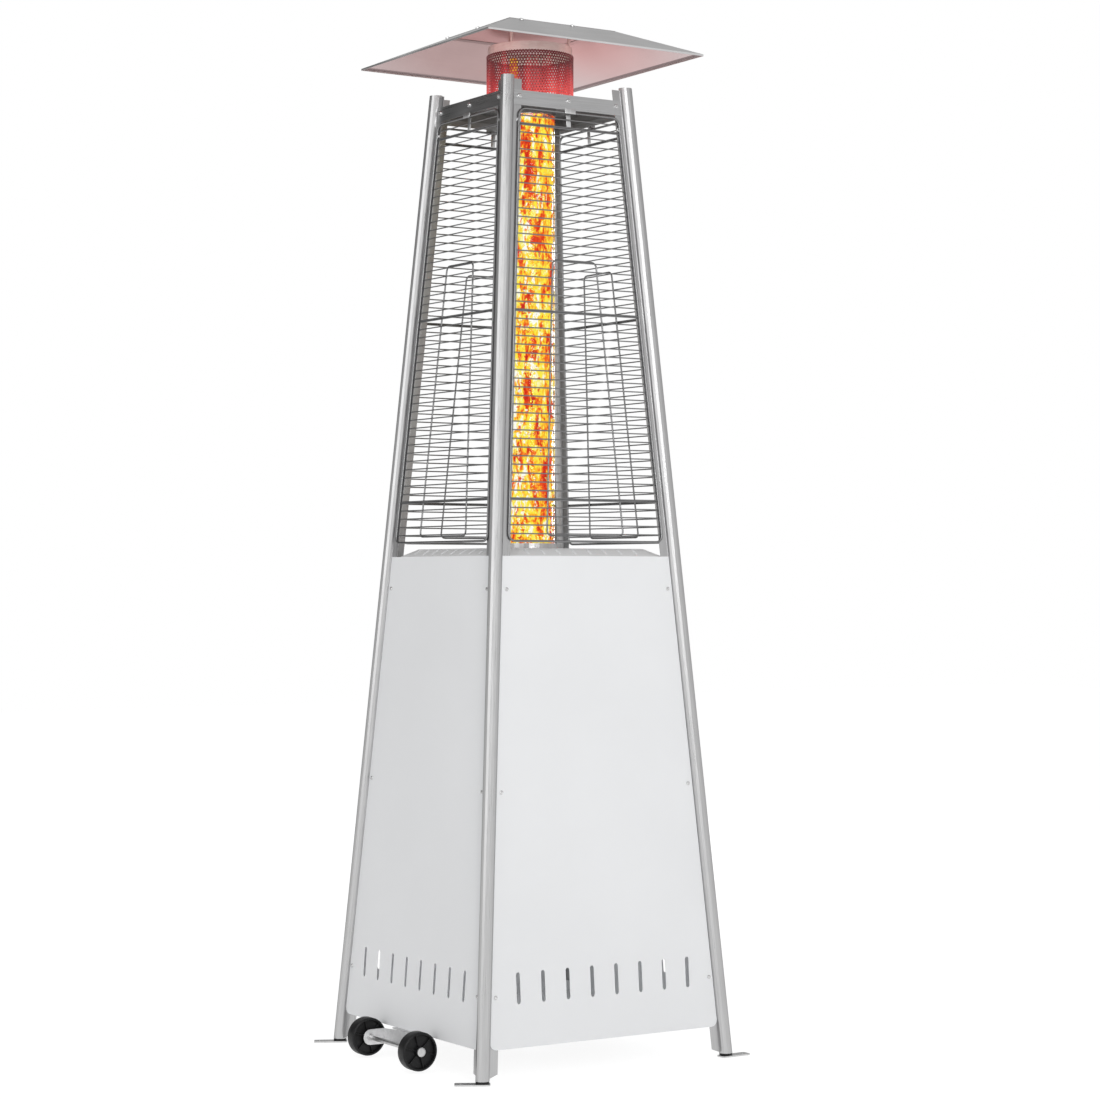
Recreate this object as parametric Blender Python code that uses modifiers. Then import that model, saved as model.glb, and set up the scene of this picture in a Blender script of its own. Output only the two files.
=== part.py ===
# Pyramid patio heater, 2.27 m tall, in metres with +Z up.
# The origin is on the ground below the middle of the square frame. The door and the controls are on
# the front face (-Y), the wheels are under the rear face (+Y).
import math

import bmesh
import bpy
from mathutils import Matrix, Vector

for old in list(bpy.data.objects):
    bpy.data.objects.remove(old)

# Clearances and working values
FIT = 0.0003
OVERRUN = 0.005
WELD = 0.000002
SHARP_DEGREES = 35

# Frame: the posts lean in towards the middle, all at one slope
HALF_FOOT = 0.3127
HALF_HEAD = 0.15346
TUBE_R = 0.015
TUBE_WALL = 0.001
FLANGE_REACH = 0.036
FLANGE_THICK = 0.0015
FLANGE_LIFT = 0.002
FLANGE_SLOPE = 0.008

# Feet
FOOT_PLATE_THICK = 0.003
FOOT_PLATE_WIDTH = 0.026
FOOT_PLATE_BEHIND_TUBE = 0.0015
FOOT_PLATE_TOE = 0.058
FOOT_CORNER_R = 0.005
ANCHOR_R = 0.004
ANCHOR_TO_TOE = 0.012
PLUG_HEAD = 0.005
PLUG_STEP = 0.0005
PLUG_SPIGOT = 0.024

# Heights, stacked from the ground up
PANEL_BOTTOM = 0.068
DOOR_HEIGHT = 0.787
DOOR_GAP = 0.007
CONTROL_PANEL_HEIGHT = 0.237
GUARD_ABOVE_PANEL = 0.029
GUARD_PITCH = 0.01853
GUARD_GAPS = 51
RAIL_ABOVE_GUARD = 0.004
RAIL_HEIGHT = 0.033
FLANGE_ABOVE_RAIL = 0.024
TUBE_ABOVE_FLANGE = 0.006

# White panels, door and control panel
SHEET = 0.0008
PANEL_SIDE_GAP = 0.0005
PANEL_CORNER_R = 0.015
SLOT_COUNT = 8
SLOT_FROM_POST = 0.09064
SLOT_WIDTH = 0.0095
SLOT_HEIGHT = 0.067
SLOT_ABOVE_EDGE = 0.090

# Door hinges
PIVOT_FROM_TUBE = 0.0035
BARREL_R = 0.004
BARREL_SUNK = 0.00025
DOOR_PAST_PIVOT = 0.001
PIN_R = 0.0021
LEAF_HEIGHT = 0.030
KNUCKLE_HEIGHT = 0.012
KNUCKLE_GAP = 0.001
LEAF_WIDTH = 0.016
HINGE_FROM_DOOR_END = 0.110
PULL_R = 0.012
PULL_NECK_R = 0.006
PULL_DEPTH = 0.022
PULL_FACE_SHARE = 0.75
PULL_SHOULDER_SHARE = 0.86
PULL_BACK_SHARE = 0.62
PULL_NECK_SHARE = 0.33
PULL_FROM_EDGE = 0.045
PULL_BELOW_TOP = 0.060

# Base shelf, with its edge turned up
SHELF_EDGE = 0.025
SHELF_CORNER_R = 0.040
SHELF_VENT_R = 0.030

# Burner deck
DECK_SKIRT = 0.030
DECK_STEP = 0.006
DECK_RISE = 0.017
DECK_SLOPE_RUN = 0.028
DECK_CORNER_R = 0.050
DECK_HOLE_PAST_CUP = 0.002
DECK_SLITS = 8
DECK_SLIT_LENGTH = 0.020
DECK_SLIT_WIDTH = 0.005
DECK_SLIT_PITCH = 0.040

# Glass tube and its rings
GLASS_R = 0.056
GLASS_WALL = 0.003
SEAT_HEIGHT = 0.0127
SEAT_WALL = 0.0035
SEAT_LIP = 0.005
SEAT_FLOOR = 0.0015
TOP_RING_HEIGHT = 0.022
TOP_RING_WALL = 0.002
TOP_RING_FLANGE = 0.0117
GLASS_END_PLAY = 0.004

# Emitter
PLATE_BELOW_RAIL = 0.0013
PLATE_SKIRT = 0.018
PLATE_CORNER_R = 0.036
PLATE_OVER_GLASS = 0.004
SCREEN_R = 0.0975
SCREEN_WALL = 0.0008
SCREEN_HEIGHT = 0.109
SCREEN_FOOT = 0.0045
SCREEN_FOOT_THICK = 0.0015
BAND_STEP = 0.003
BAND_HEIGHT = 0.0197
BAND_TOP_RING = 0.0345
STANDOFF_R = 0.0035
STANDOFF_FROM_EDGE = 0.0079
STANDOFF_LENGTH = 0.0302
STANDOFF_COUNT = 3

# Hood
HOOD_RIM = 0.2784
HOOD_PLATEAU = 0.138
HOOD_DROP = 0.0605
HOOD_LIP = 0.004
HOOD_FLANGE = 0.020
HOOD_SHEET = 0.001

# Wire guards
GUARD_SIDE_GAP = 0.0265
GUARD_ROD = 0.005
GUARD_WIRE = 0.0028
GUARD_DEPTH = 0.0035
GUARD_CORNER_R = 0.012
LOOP_TOP_HALF = 0.058
LOOP_BOTTOM_HALF = 0.1007
LOOP_RISE = 0.013
LOOP_HEIGHT = 0.604
LOOP_CORNER_R = 0.012
DOUBLED_ROWS = (5, 27, 49)

# Wheels
WHEEL_R = 0.0417
WHEEL_WIDTH = 0.028
WHEEL_SIDE_GAP = 0.0015
WHEEL_LIFT = 0.0033
WHEEL_TUCK = 0.0013
WHEEL_RIM = 0.006
WHEEL_DISH = 0.005
WHEEL_HUB_R = 0.013
TREAD_ROUND = 0.002
AXLE_R = 0.005
AXLE_CAP_R = 0.010
AXLE_CAP = 0.006
AXLE_CAP_FACE_SHARE = 0.8
AXLE_CAP_EDGE_SHARE = 0.7
COLLAR_WALL = 0.0028
COLLAR_WIDTH = 0.0022
EAR_INNER = 0.0948
EAR_R = 0.017
BRACKET_THICK = 0.002
WEB_BEHIND_AXLE = 0.037
WEB_FROM_EAR = 0.070
BRACKET_LAP = 0.0406
LAP_FROM_EAR = 0.033

# Controls, gas valve and burner
CONTROL_BELOW_TOP = 0.114
KNOB_R = 0.021
KNOB_SKIRT_STEP = 0.002
KNOB_SKIRT = 0.005
KNOB_SKIRT_EDGE_SHARE = 0.8
KNOB_WAIST_SHARE = 0.92
KNOB_TOP_SHARE = 0.85
KNOB_DEPTH = 0.022
KNOB_GAP = 0.0055
KNOB_GRIP = 0.009
KNOB_GRIP_LENGTH_SHARE = 0.9
KNOB_GRIP_ROUND_SHARE = 0.2
STEM_IN_KNOB_SHARE = 0.7
STEM_R = 0.003
STEM_LENGTH = 0.038
PUSH_TRAVEL = 0.004
VALVE_WIDTH = 0.040
VALVE_HEIGHT = 0.048
VALVE_DEPTH = 0.034
NIPPLE_R = 0.0075
NIPPLE_LENGTH = 0.024
OUTLET_R = 0.007
OUTLET_LENGTH = 0.014
IGNITER_ACROSS = 0.090
IGNITER_R = 0.011
IGNITER_DEPTH = 0.050
BEZEL_LIP = 0.004
BEZEL_THICK = 0.003
BEZEL_FACE_SHARE = 0.9
BEZEL_EDGE_SHARE = 0.67
BUTTON_R = 0.0075
BUTTON_PROUD = 0.007
BUTTON_FACE_SHARE = 0.8
BUTTON_SHOULDER_SHARE = 0.8
BUTTON_LENGTH = 0.022
BUTTON_TRAVEL = 0.005
BUTTON_SIDE_GAP = 0.0004
PIPE_R = 0.005
PIPE_HANDLE_SHARE = 0.55
CUP_R = 0.045
CUP_WALL = 0.0015
CUP_DEPTH = 0.040
CUP_FLANGE = 0.015
PILOT_LENGTH = 0.026
PILOT_WIDTH = 0.012
PILOT_PLATE = 0.002
PROBE_R = 0.002
PROBE_HEIGHT = 0.024

# Numbers of flats on round shapes
ROUND = 32
SMALL_ROUND = 16
ARC = 4
SLOT_ARC = 3

# What follows from the sizes above
FOOT_PLATE_HEEL = TUBE_R + FOOT_PLATE_BEHIND_TUBE
PLUG_HEAD_R = TUBE_R - PLUG_STEP
TUBE_BOTTOM = FOOT_PLATE_THICK + PLUG_HEAD + FIT * 2
DOOR_TOP = PANEL_BOTTOM + DOOR_HEIGHT
CONTROL_BOTTOM = DOOR_TOP + DOOR_GAP
PANEL_TOP = CONTROL_BOTTOM + CONTROL_PANEL_HEIGHT
GUARD_BOTTOM = PANEL_TOP + GUARD_ABOVE_PANEL
GUARD_TOP = GUARD_BOTTOM + GUARD_GAPS * GUARD_PITCH
RAIL_BOTTOM = GUARD_TOP + RAIL_ABOVE_GUARD
RAIL_TOP = RAIL_BOTTOM + RAIL_HEIGHT
FLANGE_TOP = RAIL_TOP + FLANGE_ABOVE_RAIL
TUBE_TOP = FLANGE_TOP + TUBE_ABOVE_FLANGE
LEAN = (HALF_FOOT - HALF_HEAD) / TUBE_TOP
LEAN_ANGLE = math.atan(LEAN)
SKIN_IN = FLANGE_THICK / 2 + FIT
SKIN_OUT = SKIN_IN + SHEET
PAN_INSET = FLANGE_THICK / 2 + FIT
PANEL_INSET = TUBE_R + PANEL_SIDE_GAP
PIVOT_INSET = TUBE_R + PIVOT_FROM_TUBE
PIVOT_OUT = SKIN_OUT + BARREL_R - BARREL_SUNK
DOOR_EDGE_INSET = PIVOT_INSET - DOOR_PAST_PIVOT
CONTROL_HEIGHT = PANEL_TOP - CONTROL_BELOW_TOP
DECK_TOP = PANEL_TOP + DECK_RISE
DECK_HOLE_R = CUP_R + DECK_HOLE_PAST_CUP
CUP_FLANGE_R = CUP_R + CUP_FLANGE
GLASS_SEAT_R = GLASS_R + FIT
TOP_RING_R = GLASS_SEAT_R + TOP_RING_WALL
TOP_RING_FLANGE_R = TOP_RING_R + TOP_RING_FLANGE
PLATE_HOLE_R = GLASS_R - PLATE_OVER_GLASS
SCREEN_FOOT_R = SCREEN_R + SCREEN_FOOT
BAND_R = SCREEN_R - BAND_STEP
BAND_INNER_R = BAND_R - BAND_TOP_RING
STANDOFF_CIRCLE = BAND_R - STANDOFF_FROM_EDGE
PLATE_TOP = RAIL_TOP - PLATE_BELOW_RAIL
PLATE_UNDER = PLATE_TOP - SHEET
SCREEN_LOW = PLATE_TOP + FIT
SCREEN_TOP = SCREEN_LOW + SCREEN_HEIGHT
BAND_LOW = SCREEN_TOP + FIT
BAND_TOP = BAND_LOW + BAND_HEIGHT
HOOD_UNDER = BAND_TOP + STANDOFF_LENGTH + FIT * 2
WHEEL_CENTRE = EAR_INNER + BRACKET_THICK + WHEEL_SIDE_GAP + WHEEL_WIDTH / 2
AXLE_OUT = HALF_FOOT + WHEEL_R - WHEEL_TUCK
AXLE_HEIGHT = WHEEL_R + WHEEL_LIFT
COLLAR_R = AXLE_R + COLLAR_WALL
PANEL_BACK = SKIN_IN * math.cos(LEAN_ANGLE) - FIT
PANEL_FACE = SKIN_OUT + FIT
KNOB_BACK = PANEL_FACE + KNOB_GAP
STEM_TOP = KNOB_BACK + KNOB_DEPTH * STEM_IN_KNOB_SHARE

PART = bpy.data.collections.new("pyramid_patio_heater")
TOOLS = bpy.data.collections.new("cutters")
bpy.context.scene.collection.children.link(PART)
bpy.context.scene.collection.children.link(TOOLS)

UP = Vector((0, 0, 1))
OUTWARD = {
    "rear": Vector((0, 1, 0)),
    "left": Vector((-1, 0, 0)),
    "front": Vector((0, -1, 0)),
    "right": Vector((1, 0, 0)),
}
CORNERS = {
    "rear_left": (-1, 1),
    "rear_right": (1, 1),
    "front_left": (-1, -1),
    "front_right": (1, -1),
}
# Which way each foot plate points, in degrees from +X
TOE_ANGLES = {"rear_left": 60, "rear_right": 63, "front_left": 270, "front_right": 270}


def half_at(height):
    """Half the distance between two post axes at a height."""
    return HALF_FOOT - LEAN * height


def material(name, colour, roughness, metallic=0.0, alpha=1.0):
    made = bpy.data.materials.new(name)
    made.use_nodes = True
    shader = made.node_tree.nodes["Principled BSDF"]
    shader.inputs["Base Color"].default_value = (*colour, 1)
    shader.inputs["Roughness"].default_value = roughness
    shader.inputs["Metallic"].default_value = metallic
    shader.inputs["Alpha"].default_value = alpha
    return made


STEEL = material("brushed_steel", (0.60, 0.61, 0.62), 0.35, 1.0)
DARK_STEEL = material("wire_steel", (0.42, 0.42, 0.43), 0.4, 1.0)
WHITE = material("white_paint", (0.86, 0.87, 0.88), 0.45)
BLACK = material("black_plastic", (0.02, 0.02, 0.02), 0.5)
GLASS = material("quartz_glass", (0.95, 0.97, 0.98), 0.05, alpha=0.3)
GLOWING = material("hot_screen", (0.75, 0.20, 0.16), 0.5, 0.6)
BRASS = material("valve_metal", (0.70, 0.60, 0.38), 0.4, 1.0)


# Places

def face_frame(side):
    """Leaning frame of a face: x across, y is height, z is the distance out from the post axes."""
    outward = OUTWARD[side]
    across = UP.cross(outward)
    rise = UP - outward * LEAN
    frame = Matrix((across, rise, outward)).transposed().to_4x4()
    frame.translation = outward * HALF_FOOT
    return frame


def square_frame(side, height, across=0.0):
    """Upright-angled frame on a face: z stands square to the face, y climbs it."""
    outward = OUTWARD[side]
    sideways = UP.cross(outward)
    normal = (outward + UP * LEAN).normalized()
    frame = Matrix((sideways, normal.cross(sideways), normal)).transposed().to_4x4()
    frame.translation = face_frame(side) @ Vector((across, height, 0))
    return frame


def upright(x, y, z):
    return Matrix.Translation((x, y, z))


# Making and placing

def place(name, mesh, finish, at=None):
    """A named piece of the heater, shaded smooth with its sharp edges kept."""
    mesh.name = name
    piece = bpy.data.objects.new(name, mesh)
    mesh.materials.clear()
    mesh.materials.append(finish)
    mesh.shade_smooth()
    mesh.set_sharp_from_angle(angle=math.radians(SHARP_DEGREES))
    if at is not None:
        piece.matrix_world = at
    PART.objects.link(piece)
    return piece


def tool(name, mesh, at=None):
    """A shape that only cuts or joins, kept out of the part."""
    piece = bpy.data.objects.new(name, mesh)
    piece.hide_render = True
    piece.display_type = "WIRE"
    if at is not None:
        piece.matrix_world = at
    TOOLS.objects.link(piece)
    return piece


def combine(piece, other, operation):
    change = piece.modifiers.new(other.name, "BOOLEAN")
    change.operation = operation
    change.object = other
    return piece


def join(piece, name, mesh, at=None):
    return combine(piece, tool(name, mesh, at), "UNION")


def cut(piece, name, mesh, at=None):
    return combine(piece, tool(name, mesh, at), "DIFFERENCE")


def arc(cx, cy, radius, start, end, steps):
    """Points of an arc, in degrees, both ends included."""
    turns = [math.radians(start + (end - start) * i / steps) for i in range(steps + 1)]
    return [(cx + radius * math.cos(t), cy + radius * math.sin(t)) for t in turns]


def circle(cx, cy, radius, steps=ROUND):
    return arc(cx, cy, radius, 0, 360, steps)[:-1]


def slot(cx, low, high, width):
    """An upright slot with round ends."""
    radius = width / 2
    top = arc(cx, high - radius, radius, 0, 180, SLOT_ARC)
    bottom = arc(cx, low + radius, radius, 180, 360, SLOT_ARC)
    return top + bottom


def finished(draft):
    """The evaluated mesh of a working object, welded, with its faces pointing out."""
    TOOLS.objects.link(draft)
    bpy.context.view_layer.update()
    seen = draft.evaluated_get(bpy.context.evaluated_depsgraph_get())
    mesh = bpy.data.meshes.new_from_object(seen)
    bpy.data.objects.remove(draft)
    shape = bmesh.new()
    shape.from_mesh(mesh)
    bmesh.ops.remove_doubles(shape, verts=shape.verts, dist=WELD)
    bmesh.ops.recalc_face_normals(shape, faces=shape.faces)
    shape.to_mesh(mesh)
    shape.free()
    return mesh


def sheet_mesh(loops, low, high, frame=None):
    """A flat sheet from an outline and its holes, between two levels of its own z."""
    curve = bpy.data.curves.new("outline", "CURVE")
    curve.dimensions = "2D"
    curve.fill_mode = "BOTH"
    curve.extrude = (high - low) / 2
    for loop in loops:
        spline = curve.splines.new("POLY")
        spline.points.add(len(loop) - 1)
        spline.use_cyclic_u = True
        for point, (x, y) in zip(spline.points, loop):
            point.co = (x, y, 0, 1)
    mesh = finished(bpy.data.objects.new("outline", curve))
    mesh.transform(upright(0, 0, (low + high) / 2))
    if frame is not None:
        mesh.transform(frame)
    return mesh


def box_mesh(size, centre, bevel=0.0):
    shape = bmesh.new()
    bmesh.ops.create_cube(shape, size=1)
    bmesh.ops.scale(shape, vec=size, verts=shape.verts)
    if bevel:
        bmesh.ops.bevel(shape, geom=shape.edges, offset=bevel, segments=2, profile=0.5, affect="EDGES")
    bmesh.ops.translate(shape, vec=centre, verts=shape.verts)
    mesh = bpy.data.meshes.new("box")
    shape.to_mesh(mesh)
    shape.free()
    return mesh


def rod_mesh(radius, low, high, at=None, steps=SMALL_ROUND):
    """A round rod along z, moved by a matrix."""
    shape = bmesh.new()
    bmesh.ops.create_cone(
        shape, cap_ends=True, segments=steps, radius1=radius, radius2=radius, depth=high - low
    )
    bmesh.ops.translate(shape, vec=(0, 0, (low + high) / 2), verts=shape.verts)
    mesh = bpy.data.meshes.new("rod")
    shape.to_mesh(mesh)
    shape.free()
    if at is not None:
        mesh.transform(at)
    return mesh


def turned(name, profile, finish, at=None, steps=ROUND, ring=False):
    """A piece turned about z from (radius, height) points that run down its outer side."""
    mesh = bpy.data.meshes.new(name)
    shape = bmesh.new()
    points = [shape.verts.new((radius, 0, height)) for radius, height in profile]
    for first, second in zip(points, points[1:]):
        shape.edges.new((first, second))
    if ring:
        shape.edges.new((points[-1], points[0]))
    shape.to_mesh(mesh)
    shape.free()
    draft = bpy.data.objects.new(name, mesh)
    spin = draft.modifiers.new("turn", "SCREW")
    spin.steps = steps
    spin.render_steps = steps
    spin.use_merge_vertices = True
    spin.merge_threshold = WELD
    return place(name, finished(draft), finish, at)


# Corner posts: a tube with a flange rolled on in each of its two faces

def lean_matrix(x_sign, y_sign):
    """Moves what stands at the corner of the ground square along the leaning post."""
    slide = Matrix.Identity(4)
    slide[0][2] = -LEAN * x_sign
    slide[1][2] = -LEAN * y_sign
    slide.translation = (HALF_FOOT * x_sign, HALF_FOOT * y_sign, 0)
    return slide


def flange_outline(inner, outer):
    """A flange seen square to its face: distance from the post axis, and height."""
    low = TUBE_BOTTOM + FLANGE_LIFT
    return [
        (inner, low),
        (inner, FLANGE_TOP),
        (outer, FLANGE_TOP),
        (outer, low + FLANGE_SLOPE),
    ]


def corner_posts():
    wall = TUBE_R - TUBE_WALL
    ring = [circle(0, 0, TUBE_R, SMALL_ROUND), circle(0, 0, wall, SMALL_ROUND)]
    root = TUBE_R - TUBE_WALL / 2
    for corner, (x_sign, y_sign) in CORNERS.items():
        lean = lean_matrix(x_sign, y_sign)
        post = place("post_" + corner, sheet_mesh(ring, TUBE_BOTTOM, TUBE_TOP, lean), STEEL)
        for axis, sign in (("x", x_sign), ("y", y_sign)):
            spread = [(-sign * out, height) for out, height in flange_outline(root, FLANGE_REACH)]
            turn = Matrix.Rotation(math.radians(90), 4, "X")
            if axis == "y":
                turn = Matrix.Rotation(math.radians(90), 4, "Z") @ turn
            flange = sheet_mesh([spread], -FLANGE_THICK / 2, FLANGE_THICK / 2, lean @ turn)
            join(post, "flange_" + axis + "_" + corner, flange)


def feet():
    for corner, (x_sign, y_sign) in CORNERS.items():
        x, y = HALF_FOOT * x_sign, HALF_FOOT * y_sign
        half = FOOT_PLATE_WIDTH / 2
        tab = [
            *arc(FOOT_PLATE_TOE - FOOT_CORNER_R, half - FOOT_CORNER_R, FOOT_CORNER_R, 90, 0, ARC),
            *arc(FOOT_PLATE_TOE - FOOT_CORNER_R, FOOT_CORNER_R - half, FOOT_CORNER_R, 0, -90, ARC),
            *arc(FOOT_CORNER_R - FOOT_PLATE_HEEL, FOOT_CORNER_R - half, FOOT_CORNER_R, 270, 180, ARC),
            *arc(FOOT_CORNER_R - FOOT_PLATE_HEEL, half - FOOT_CORNER_R, FOOT_CORNER_R, 180, 90, ARC),
        ]
        hole = circle(FOOT_PLATE_TOE - ANCHOR_TO_TOE, 0, ANCHOR_R, SMALL_ROUND)
        turn = Matrix.Rotation(math.radians(TOE_ANGLES[corner]), 4, "Z")
        mesh = sheet_mesh([tab, hole], 0, FOOT_PLATE_THICK)
        place("foot_plate_" + corner, mesh, STEEL, upright(x, y, 0) @ turn)

        lean = lean_matrix(x_sign, y_sign)
        head_low = FOOT_PLATE_THICK + FIT
        head_high = head_low + PLUG_HEAD
        head = rod_mesh(PLUG_HEAD_R, head_low, head_high, lean)
        plug = place("foot_plug_" + corner, head, BLACK)
        spigot_r = TUBE_R - TUBE_WALL - FIT
        spigot = rod_mesh(spigot_r, head_high - PLUG_HEAD / 2, head_high + PLUG_SPIGOT, lean)
        join(plug, "spigot_" + corner, spigot)


# Flat panels on the faces

def face_outline(low, high, inset, corner_r=0.0):
    """A sheet between two posts, whose sides follow the posts."""
    bottom, top = half_at(low) - inset, half_at(high) - inset
    if not corner_r:
        return [(-bottom, low), (bottom, low), (top, high), (-top, high)]
    right = arc(bottom - corner_r - LEAN * corner_r, low + corner_r, corner_r, -90, 0, ARC)
    left = [(-x, y) for x, y in reversed(right)]
    return left + right + [(top, high), (-top, high)]


def cut_vents(panel, side):
    """Cuts the row of upright vent slots near the foot of a panel."""
    last = half_at(PANEL_BOTTOM) - SLOT_FROM_POST
    pitch = last * 2 / (SLOT_COUNT - 1)
    low = PANEL_BOTTOM + SLOT_ABOVE_EDGE
    places = [pitch * i - last for i in range(SLOT_COUNT)]
    slots = [slot(across, low, low + SLOT_HEIGHT, SLOT_WIDTH) for across in places]
    mesh = sheet_mesh(slots, SKIN_IN - OVERRUN, SKIN_OUT + OVERRUN, face_frame(side))
    cut(panel, "vents_" + side, mesh)


def side_panels():
    outline = face_outline(PANEL_BOTTOM, PANEL_TOP, PANEL_INSET, PANEL_CORNER_R)
    for side in ("left", "right", "rear"):
        mesh = sheet_mesh([outline], SKIN_IN, SKIN_OUT, face_frame(side))
        cut_vents(place("side_panel_" + side, mesh, WHITE), side)


def control_panel():
    outline = face_outline(CONTROL_BOTTOM, PANEL_TOP, PANEL_INSET)
    stem_hole = circle(0, CONTROL_HEIGHT, STEM_R + FIT * 2, SMALL_ROUND)
    igniter_hole = circle(IGNITER_ACROSS, CONTROL_HEIGHT, IGNITER_R + FIT * 2, SMALL_ROUND)
    mesh = sheet_mesh([outline, stem_hole, igniter_hole], SKIN_IN, SKIN_OUT, face_frame("front"))
    place("control_panel", mesh, WHITE)


# Door: its hinge line leans with the front right post

HINGES = {
    "lower": PANEL_BOTTOM + HINGE_FROM_DOOR_END,
    "upper": DOOR_TOP - HINGE_FROM_DOOR_END,
}
PIVOT_WAY = Vector((-LEAN, LEAN, 1)).normalized()


def pivot_at(height):
    return Vector((half_at(height) - PIVOT_INSET, -half_at(height) - PIVOT_OUT, height))


def pivot_frame(height):
    """Frame whose z runs up the hinge line and whose x points away from the door."""
    side = Vector((1, 0, 0))
    side = (side - PIVOT_WAY * side.dot(PIVOT_WAY)).normalized()
    frame = Matrix((side, PIVOT_WAY.cross(side), PIVOT_WAY)).transposed().to_4x4()
    frame.translation = pivot_at(height)
    return frame


def door():
    bottom, top = half_at(PANEL_BOTTOM), half_at(DOOR_TOP)
    left = arc(
        PANEL_INSET + PANEL_CORNER_R * (1 + LEAN) - bottom,
        PANEL_BOTTOM + PANEL_CORNER_R,
        PANEL_CORNER_R,
        180,
        270,
        ARC,
    )
    edge = [(bottom - DOOR_EDGE_INSET, PANEL_BOTTOM)]
    notch = PIVOT_INSET + LEAF_WIDTH
    notch_half = LEAF_HEIGHT / 2 + KNUCKLE_GAP / 2
    for height in HINGES.values():
        low, high = height - notch_half, height + notch_half
        edge += [
            (half_at(low) - DOOR_EDGE_INSET, low),
            (half_at(low) - notch, low),
            (half_at(high) - notch, high),
            (half_at(high) - DOOR_EDGE_INSET, high),
        ]
    edge += [(top - DOOR_EDGE_INSET, DOOR_TOP), (PANEL_INSET - top, DOOR_TOP)]
    hinge_low = pivot_at(PANEL_BOTTOM)
    to_hinge = Matrix.Translation(-hinge_low)
    mesh = sheet_mesh([left + edge], SKIN_IN, SKIN_OUT, to_hinge @ face_frame("front"))
    leaf = place("door", mesh, WHITE, Matrix.Translation(hinge_low))
    cut_vents(leaf, "front")
    near = LEAF_HEIGHT / 2 + KNUCKLE_GAP
    far = near + KNUCKLE_HEIGHT
    for name, height in HINGES.items():
        at = pivot_frame(height)
        join(leaf, "knuckle_above_" + name, rod_mesh(BARREL_R, near, far), at)
        join(leaf, "knuckle_below_" + name, rod_mesh(BARREL_R, -far, -near), at)
        cut(leaf, "bore_" + name, rod_mesh(PIN_R + FIT, -far - OVERRUN, far + OVERRUN), at)


def door_hinges():
    """Fixed hinge leaves on the post's flange, each with its barrel and pin."""
    for name, height in HINGES.items():
        low, high = height - LEAF_HEIGHT / 2, height + LEAF_HEIGHT / 2
        inner, outer = PIVOT_INSET + LEAF_WIDTH - FIT * 2, PIVOT_INSET - BARREL_R / 2
        flat = [
            (half_at(low) - inner, low),
            (half_at(low) - outer, low),
            (half_at(high) - outer, high),
            (half_at(high) - inner, high),
        ]
        mesh = sheet_mesh([flat], SKIN_IN, SKIN_OUT, face_frame("front"))
        leaf = place("door_hinge_" + name, mesh, STEEL)
        barrel = rod_mesh(BARREL_R, -LEAF_HEIGHT / 2, LEAF_HEIGHT / 2)
        join(leaf, "barrel_" + name, barrel, pivot_frame(height))
        reach = LEAF_HEIGHT / 2 + KNUCKLE_GAP + KNUCKLE_HEIGHT
        join(leaf, "pin_" + name, rod_mesh(PIN_R, -reach, reach), pivot_frame(height))


def door_pull():
    height = DOOR_TOP - PULL_BELOW_TOP
    across = PANEL_INSET + PULL_FROM_EDGE - half_at(height)
    seat = SKIN_OUT + FIT
    profile = [
        (0, seat + PULL_DEPTH),
        (PULL_R * PULL_FACE_SHARE, seat + PULL_DEPTH),
        (PULL_R, seat + PULL_DEPTH * PULL_SHOULDER_SHARE),
        (PULL_R, seat + PULL_DEPTH * PULL_BACK_SHARE),
        (PULL_NECK_R, seat + PULL_DEPTH * PULL_NECK_SHARE),
        (PULL_NECK_R, seat),
        (0, seat),
    ]
    turned("door_pull", profile, STEEL, square_frame("front", height, across), SMALL_ROUND)


# Pans: folded square trays with rounded corners

def rounded_square(half, corner_r):
    points = []
    centre = half - corner_r
    for turn in range(4):
        quarter = Matrix.Rotation(math.radians(90 * turn), 2)
        for x, y in arc(centre, centre, corner_r, 0, 90, ARC):
            points.append(quarter @ Vector((x, y)))
    return points


def ring_points(radius):
    """A round hole's points, one for each point of a rounded square."""
    per_side = ARC + 1
    step = 90 / per_side
    first = step / 2
    turns = [math.radians(first + step * i) for i in range(4 * per_side)]
    return [Vector((radius * math.cos(t), radius * math.sin(t))) for t in turns]


def pan(name, levels, hole_r, finish):
    """A folded pan from (half, corner radius, height) levels, with a round hole in its flat."""
    opens_up = levels[0][2] > levels[-1][2]
    shape = bmesh.new()
    rings = []
    for half, corner_r, height in levels:
        rings.append([shape.verts.new((*p, height)) for p in rounded_square(half, corner_r)])
    rings.append([shape.verts.new((*p, levels[-1][2])) for p in ring_points(hole_r)])
    for lower, higher in zip(rings, rings[1:]):
        count = len(lower)
        for i in range(count):
            after = (i + 1) % count
            shape.faces.new((lower[i], lower[after], higher[after], higher[i]))
    if opens_up:
        bmesh.ops.reverse_faces(shape, faces=shape.faces)
    mesh = bpy.data.meshes.new(name)
    shape.to_mesh(mesh)
    shape.free()
    draft = bpy.data.objects.new(name, mesh)
    skin = draft.modifiers.new("sheet", "SOLIDIFY")
    skin.thickness = SHEET
    skin.offset = -1
    skin.use_even_offset = True
    return place(name, finished(draft), finish)


def base_shelf():
    top = PANEL_BOTTOM + SHELF_EDGE
    levels = [
        (half_at(top) - PAN_INSET, SHELF_CORNER_R, top),
        (half_at(PANEL_BOTTOM) - PAN_INSET, SHELF_CORNER_R, PANEL_BOTTOM),
    ]
    pan("base_shelf", levels, SHELF_VENT_R, STEEL)


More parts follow.
